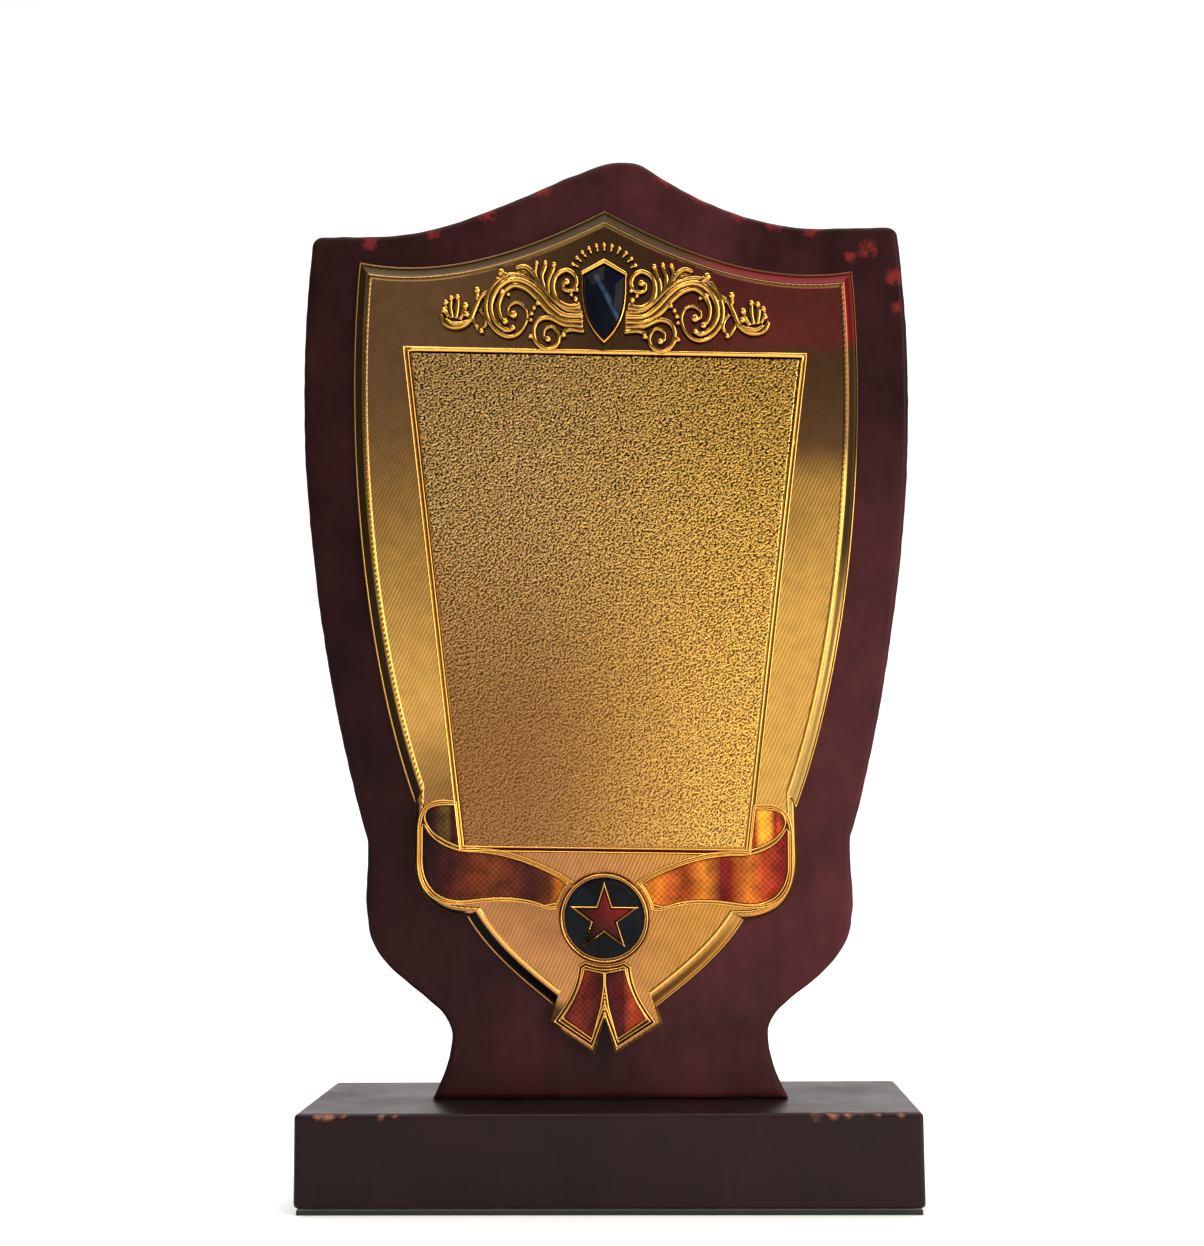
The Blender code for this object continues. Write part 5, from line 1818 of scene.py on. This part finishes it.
def panel_side(up: float) -> float:
    """Half-width of the lettering panel at a drawn height."""
    share = (up - PANEL_BOTTOM) / (PANEL_TOP - PANEL_BOTTOM)
    return PANEL_BOTTOM_HALF + share * (PANEL_TOP_HALF - PANEL_BOTTOM_HALF)


@dataclass
class RibbonHalf:
    """One half of the ribbon behind the medallion: gilt frame, enamel band and turned-back fold."""

    side: float = 1.0
    word: str = "right"
    line: float = 0.34
    pitch: float = 0.5

    def edges(self, *stretches: np.ndarray) -> Outline:
        """An outline on this side, from stretches drawn for the right."""
        return Outline(*[stretch * (self.side, 1.0) for stretch in stretches], pitch=0.35)

    def frame_outline(self) -> Outline:
        """Edge of the gilt frame."""
        fold = panel_side(FOLD_TOP) + 0.6
        near, far = off_medallion(2.4, 7), off_medallion(2.75, 46)
        return self.edges(
            trace(tuple(round_medallion(GAP, 9, 9)[0]), near),
            trace(near, ((17.0, 61.9), (23.0, 61.6), (28.5, 60.8)), ((38.0, 59.4), (40.0, 65.0),
                  (40.0, 70.0)), (40.0, 76.5), ((39.8, 81.0), (38.0, 83.6), (fold, FOLD_TOP))),
            trace((fold, FOLD_TOP), (30.4, 72.6)),
            trace((30.4, 72.6), ((22.0, 73.2), (16.0, 71.0), far)),
            trace(far, tuple(round_medallion(GAP, 49, 49)[0])),
            round_medallion(GAP, 49, 9))

    def band_outline(self) -> Outline:
        """Edge of the enamel band."""
        near, far = off_medallion(3.3, 11.5), off_medallion(2.9, 40)
        return self.edges(
            trace(tuple(round_medallion(1.1, 17, 17)[0]), near),
            trace(near, ((17.5, 62.9), (23.0, 62.6), (28.5, 61.8)), ((36.5, 60.6), (38.7, 66.0),
                  (38.7, 70.0)), (38.7, 77.5)),
            trace((38.7, 77.5), ((37.3, 74.3), (34.0, 72.2), (29.4, 71.6)),
                  ((22.0, 71.7), (16.0, 69.6), far)),
            trace(far, tuple(round_medallion(1.1, 41, 41)[0])),
            round_medallion(1.1, 41, 17))

    def fold_outline(self) -> Outline:
        """Edge of the enamel on the turned-back end."""
        inner = panel_side(FOLD_TOP - 1.0) + 1.3
        return self.edges(
            trace((31.0, 73.1), ((34.5, 74.2), (38.0, 76.4), (38.2, 79.0)),
                  ((38.1, 81.0), (36.6, 81.6), (inner, FOLD_TOP - 1.0))),
            trace((inner, FOLD_TOP - 1.0), (31.0, 73.1)))

    def build(self) -> list[Thing]:
        """Makes the frame, the band and the fold."""
        front, back = levels(f"ribbon_frame_{self.word}")
        frame_edge, band_edge, fold_edge = (
            self.frame_outline(), self.band_outline(), self.fold_outline())
        floor = back - WIRE_FLOOR
        relief = Relief()
        relief.plate(frame_edge, back, ((0.0, back - 0.2), (0.05, floor)), 3.0)
        for edge, inset, width, crest in (
                (frame_edge, 0.02, self.line, front), (frame_edge, 0.38, 0.46, front + 0.28),
                (band_edge, -self.line - 0.08, self.line, front),
                (fold_edge, -self.line - 0.05, self.line, front + 0.05)):
            relief.wire(edge, inset, width, floor + WIRE_SUNK, crest)
        frame_piece = seat(relief.piece(f"ribbon_wires_{self.word}", crease=60.0), "gilt_trim",
                           f"ribbon_frame_{self.word}")
        face = levels(f"ribbon_band_{self.word}")[0]
        made = [frame_piece]
        for edge, pitch, rise, piece, node in (
                (band_edge, self.pitch, folded(0, 20.5, 9.6, 0.16, 1.0), "ribbon_enamel", "band"),
                (fold_edge, 0.4, folded(0, 33.4, 3.2, 0.14, 0.8), "fold_enamel", "fold")):
            relief = Relief()
            relief.plate(edge, floor - WIRE_SUNK,
                         ((0.0, face + 0.2), (0.1, face + 0.06), (0.25, face)), pitch, rise)
            made.append(seat(relief.piece(f"{piece}_{self.word}"), "ribbon_enamel",
                             f"ribbon_{node}_{self.word}"))
        return made

    def dress(self, frame_piece: Thing, band: Thing, fold: Thing) -> None:
        """Plates the frame and lacquers the band and the fold.

        Args:
            frame_piece: the gilt wires.
            band: enamel of the band.
            fold: enamel of the fold.
        """
        right = self.side > 0
        # Painted shade between the ribbon's wires
        PolishedGilt(f"brass_ribbon_wire_{self.word}", hollow="#5a3a1c").dress(frame_piece)
        WovenEnamel(f"woven_lacquer_band_{self.word}",
                    fold_shading=FoldShading.BAND_RIGHT if right else FoldShading.BAND_LEFT).dress(band)
        WovenEnamel(f"woven_lacquer_fold_{self.word}",
                    fold_shading=FoldShading.FOLD_RIGHT if right else FoldShading.FOLD_LEFT).dress(fold)


@dataclass
class Medallion:
    """The round boss: a turned ring, a black disc and an outlined red star."""

    ring_width: float = 0.9
    star_margin: float = 0.6
    star_line: float = 0.45
    beaded_leg: Point = (-4.0, 53.5)
    dome: float = 0.12
    bead_pitch: float = 0.8

    @property
    def disc_radius(self) -> float:
        """Radius of the black disc."""
        return MEDALLION_RADIUS - self.ring_width - GAP

    def star_outline(self) -> Outline:
        """Ten straight edges between five points."""
        radius = self.disc_radius - self.star_margin
        hollow = radius * math.cos(math.radians(72)) / math.cos(math.radians(36))
        corners = []
        for step in range(10):
            angle = math.radians(90 + 36 * step)
            reach = hollow if step % 2 else radius
            corners.append((MEDALLION_CENTRE[0] + reach * math.cos(angle),
                            MEDALLION_CENTRE[1] + reach * math.sin(angle)))
        return Outline.polygon(corners, pitch=0.2)

    def build(self) -> list[Thing]:
        """Makes the ring, the disc, the star's lines and its enamel."""
        circle = Outline(arc(MEDALLION_CENTRE, MEDALLION_RADIUS, 0, 360, 180), pitch=0.3)
        front, back = levels("medallion_ring")
        relief = Relief()
        relief.moulding(circle, ((0.0, back), (0.0, front + 0.7), (0.04, front + 0.3),
                                 (0.12, front + 0.16), (0.22, front + 0.3), (0.28, front + 0.9),
                                 (0.36, front + 0.9), (0.42, front + 0.25), (0.5, front + 0.06),
                                 (0.62, front), (0.74, front + 0.06), (0.83, front + 0.3),
                                 (0.88, front + 0.9), (self.ring_width, back)))
        ring = seat(relief.piece("boss_ring", crease=60.0), "gilt_trim", "medallion_ring")
        front, back = levels("medallion_disc")
        relief = Relief()
        edge = Outline(arc(MEDALLION_CENTRE, self.disc_radius, 0, 360, 120), pitch=0.5)
        relief.plate(edge, back, ((0.0, front + 0.25), (0.1, front + 0.08), (0.3, front)), 1.0)
        disc = seat(relief.piece("boss_disc"), "black_enamel", "medallion_disc")
        star = self.star_outline()
        front, back = levels("star_outline")
        relief = Relief()
        width = self.star_line
        middle = star.ring(width / 2)
        leg = fade(np.linalg.norm(middle - self.beaded_leg, axis=1), 2.0, 3.2)
        bead = 0.5 + 0.5 * np.cos(2 * math.pi * star.along / self.bead_pitch)
        full = 1 - leg * 0.7 * (1 - bead)
        section: list[tuple] = [(0.0, back)]
        for turn in np.radians(np.linspace(12, 168, 7)):
            section.append((width * (1 - math.cos(turn)) / 2,
                            back + (front - back) * math.sin(turn) * full))
        section.append((width, back))
        relief.moulding(star, section)
        lines = seat(relief.piece("star_wires", crease=60.0), "gilt_trim", "star_outline")
        front, back = levels("star_enamel")
        relief = Relief()

        def dome(points: np.ndarray, edge: np.ndarray) -> np.ndarray:
            return -self.dome * fade(edge, 0.0, 2.0)

        relief.plate(star, back, ((width + 0.12, front + 0.2), (width + 0.2, front)), 0.4, dome)
        enamel = seat(relief.piece("star_red"), "star_enamel", "star_enamel")
        return [ring, disc, lines, enamel]

    def dress(self, ring: Thing, disc: Thing, lines: Thing, enamel: Thing) -> None:
        """Plates the metal and lacquers the disc and the star.

        Args:
            ring: the turned ring.
            disc: the black disc.
            lines: the star's wires.
            enamel: the star's lacquer.
        """
        PolishedGilt("brass_boss_polished").dress(ring, lines)
        BlackLacquer("black_stoved_lacquer").dress(disc)
        StarEnamel("red_star_lacquer").dress(enamel)


@dataclass
class Tails:
    """The ribbon's two tails under the medallion, with a beaded wedge between them."""

    line: float = 0.32
    bead_count: int = 7
    bead_foot: float = 37.6
    bead_pitch: float = 0.8

    def frame_outline(self) -> Outline:
        """Edge of the gilt frame."""
        start = tuple(round_medallion(GAP, -66, -66)[0])
        near = off_medallion(1.85, -61)
        right = (round_medallion(GAP, -90, -66), trace(start, near),
                 trace(near, ((5.9, 43.6), (8.0, 40.4), (10.8, 36.6))),
                 trace((10.8, 36.6), (2.5, 31.2)), trace((2.5, 31.2), (0.0, 38.0)))
        return Outline.mirrored(*right, pitch=0.3)

    def pocket(self, side: float) -> Outline:
        """Edge of the enamel in one tail.

        Args:
            side: 1 on the right and -1 on the left.

        Returns:
            The edge.
        """
        near = off_medallion(2.0, -69)
        top = (0.35, off_medallion(2.0, 270)[1])
        stretches = (trace(near, ((4.9, 43.6), (6.8, 40.2), (8.6, 37.4))),
                     trace((8.6, 37.4), (2.75, 33.4)), trace((2.75, 33.4), (1.0, 39.8)),
                     trace((1.0, 39.8), (0.35, 44.2), top), trace(top, near))
        return Outline(*[stretch * (side, 1.0) for stretch in stretches], pitch=0.3)

    def build(self) -> list[Thing]:
        """Makes the gilt frame and the enamel."""
        front, back = levels("tail_frame")
        floor, edge = back - WIRE_FLOOR, self.frame_outline()
        pockets = [self.pocket(side) for side in (1.0, -1.0)]
        relief = Relief()
        relief.plate(edge, back, ((0.0, back - 0.2), (0.05, floor)), 2.0)
        relief.wire(edge, 0.02, self.line, floor + WIRE_SUNK, front)
        relief.wire(edge, 0.7, 0.3, floor + WIRE_SUNK, front + 0.08)
        for pocket in pockets:
            relief.wire(pocket, -self.line - 0.05, self.line, floor + WIRE_SUNK, front)
        for step in range(self.bead_count):
            up = self.bead_foot + step * self.bead_pitch
            relief.bead((0.0, up), (0.75 - 0.03 * step, 0.8), floor, front - 0.02)
        frame_piece = seat(relief.piece("tail_wires", crease=60.0), "gilt_trim", "tail_frame")
        face = levels("tail_enamel")[0]
        enamel = Relief()
        for pocket in pockets:
            enamel.plate(pocket, floor - WIRE_SUNK,
                         ((0.0, face + 0.2), (0.1, face + 0.06), (0.22, face)), 0.45,
                         folded(1, 40.5, 9.0, 0.15, 0.8))
        return [frame_piece, seat(enamel.piece("tail_red"), "ribbon_enamel", "tail_enamel")]

    def dress(self, frame_piece: Thing, enamel: Thing) -> None:
        """Plates the frame and lacquers the tails."""
        # Painted shade between the tails' wires
        PolishedGilt("brass_tail_wire", hollow="#4a2e18").dress(frame_piece)
        WovenEnamel("woven_lacquer_tails", fold_shading=FoldShading.TAILS).dress(enamel)


@dataclass
class HiddenFixings:
    """The felt, screws and tapes, which keep their CAD shapes."""

    nodes: dict[str, Thing] = field(default_factory=dict)

    def dress(self) -> None:
        """Gives each carried-over node its finish."""
        WoolFelt("green_wool_felt").dress(self.nodes["base_felt"])
        ZincPlate("zinc_plated_steel").dress(self.nodes["screw_left"], self.nodes["screw_right"])
        FoamTape("white_foam_tape").dress(*[self.nodes[f"tape_{place}"] for place in
                                            ("upper", "lower", "left", "right")])


@dataclass(frozen=True)
class SoftLight:
    """One square soft light: where it stands, what it faces and how bright it is."""

    name: str
    place: tuple[float, float, float]
    aim: tuple[float, float, float]
    size: Point
    watts: float
    colour: str = "#ffffff"


@dataclass
class Studio:
    """Pale floor and sweep, soft lights and the camera, in metres."""

    floor_front: float = -2.2
    floor_back: float = 0.8
    floor_half: float = 2.4
    sweep_radius: float = 0.6
    wall_top: float = 2.4
    paper: str = "#f6f6f6"
    world: str = "#8c8c8c"
    world_strength: float = 1.0
    lights: tuple[SoftLight, ...] = (
        SoftLight("top", (0.0, 0.15, 1.5), (0.0, 0.0, 0.0), (1.6, 1.2), 34.0),
        SoftLight("key_right", (0.85, -0.75, 0.45), (0.0, 0.0, 0.12), (0.5, 0.8), 10.0, "#fff4e4"),
        SoftLight("card_front", (0.16, -1.4, 0.18), (0.05, 0.0, 0.12), (0.3, 0.42), 1.3, "#fff0d8"),
        SoftLight("card_left", (-0.26, -1.4, 0.15), (-0.04, 0.0, 0.1), (0.2, 0.26), 0.25),
        SoftLight("card_high", (-0.12, -0.75, 0.8), (0.0, 0.0, 0.15), (0.08, 0.08), 0.9, "#fff0d0"),
        SoftLight("card_right", (0.95, -0.3, 0.1), (0.04, 0.0, 0.08), (0.4, 0.34), 1.6))
    eye: tuple[float, float, float] = (0.0128, -0.4166, 0.0768)
    pitch: float = 6.2
    yaw: float = 1.913
    roll: float = -0.425
    lens: float = 55.04

    def build_floor(self) -> None:
        """Makes the floor, which sweeps up into a wall."""
        turns = np.radians(np.linspace(0, 90, 25))
        profile = [(self.floor_front, 0.0)]
        profile += [(self.floor_back + self.sweep_radius * math.sin(turn),
                     self.sweep_radius * (1 - math.cos(turn))) for turn in turns]
        profile.append((self.floor_back + self.sweep_radius, self.wall_top))
        points = [(x, y, z) for y, z in profile for x in (-self.floor_half, self.floor_half)]
        faces = [(2 * step, 2 * step + 1, 2 * step + 3, 2 * step + 2)
                 for step in range(len(profile) - 1)]
        mesh = bpy.data.meshes.new("studio_sweep")
        mesh.from_pydata(points, [], faces)
        mesh.shade_smooth()
        sweep = bpy.data.objects.new("studio_sweep", mesh)
        bpy.context.scene.collection.objects.link(sweep)
        material = bpy.data.materials.new("pale_paper")
        material.use_nodes = True
        shader = material.node_tree.nodes["Principled BSDF"]
        shader.inputs["Base Color"].default_value = linear(self.paper)
        shader.inputs["Roughness"].default_value = 0.9
        mesh.materials.append(material)

    def build_lights(self) -> None:
        """Makes the soft lights and the dim room."""
        for light in self.lights:
            data = bpy.data.lights.new(light.name, "AREA")
            data.shape = "RECTANGLE"
            data.size, data.size_y = light.size
            data.energy = light.watts
            data.color = linear(light.colour)[:3]
            lamp = bpy.data.objects.new(light.name, data)
            lamp.location = light.place
            aim = Vector(light.aim) - Vector(light.place)
            lamp.rotation_euler = aim.to_track_quat("-Z", "Y").to_euler()
            bpy.context.scene.collection.objects.link(lamp)
        world = bpy.data.worlds.new("room")
        world.use_nodes = True
        room = world.node_tree.nodes["Background"]
        room.inputs["Color"].default_value = linear(self.world)
        room.inputs["Strength"].default_value = self.world_strength
        bpy.context.scene.world = world

    def build_camera(self) -> None:
        """Makes the camera at the viewing angle."""
        pitch, yaw, roll = (math.radians(angle) for angle in (self.pitch, self.yaw, self.roll))
        ahead = Vector((-math.sin(yaw) * math.cos(pitch), math.cos(yaw) * math.cos(pitch),
                        math.sin(pitch)))
        right = Vector((math.cos(yaw), math.sin(yaw), 0.0))
        up = right.cross(ahead)
        across = right * math.cos(roll) + up * math.sin(roll)
        above = up * math.cos(roll) - right * math.sin(roll)
        data = bpy.data.cameras.new("camera")
        data.lens = self.lens
        data.sensor_width = 36.0
        data.clip_start = 0.01
        camera = bpy.data.objects.new("camera", data)
        turned = Matrix((across, above, -ahead)).transposed()
        camera.matrix_world = Matrix.LocRotScale(Vector(self.eye), turned, None)
        bpy.context.scene.collection.objects.link(camera)
        bpy.context.scene.camera = camera

    def build(self) -> None:
        """Sets up the whole studio."""
        self.build_floor()
        self.build_lights()
        self.build_camera()
        bpy.context.scene.view_settings.view_transform = "Standard"


def main() -> None:
    """Builds and dresses every sub-assembly."""
    logging.basicConfig(level=logging.INFO, format="%(name)s: %(message)s")
    Studio().build()
    board = PaintedBoard()
    board.dress(board.build())
    base = BaseBlock()
    base.dress(base.build())
    sheet = GiltSheet()
    sheet.dress(sheet.build())
    panel = LetteringPanel()
    panel.dress(panel.build_border(), panel.build_plate())
    head = HeadOrnament()
    gilt = [head.build_scroll(1.0, "scrollwork_right", "scroll_right"),
            head.build_scroll(-1.0, "scrollwork_left", "scroll_left"),
            head.build_beads(), head.build_bezel()]
    head.dress(gilt, head.build_gem())
    for side, word in ((1.0, "right"), (-1.0, "left")):
        ribbon = RibbonHalf(side, word)
        ribbon.dress(*ribbon.build())
    medallion = Medallion()
    medallion.dress(*medallion.build())
    tails = Tails()
    tails.dress(*tails.build())
    HiddenFixings(frame["nodes"]).dress()


if __name__ == "__main__":
    main()
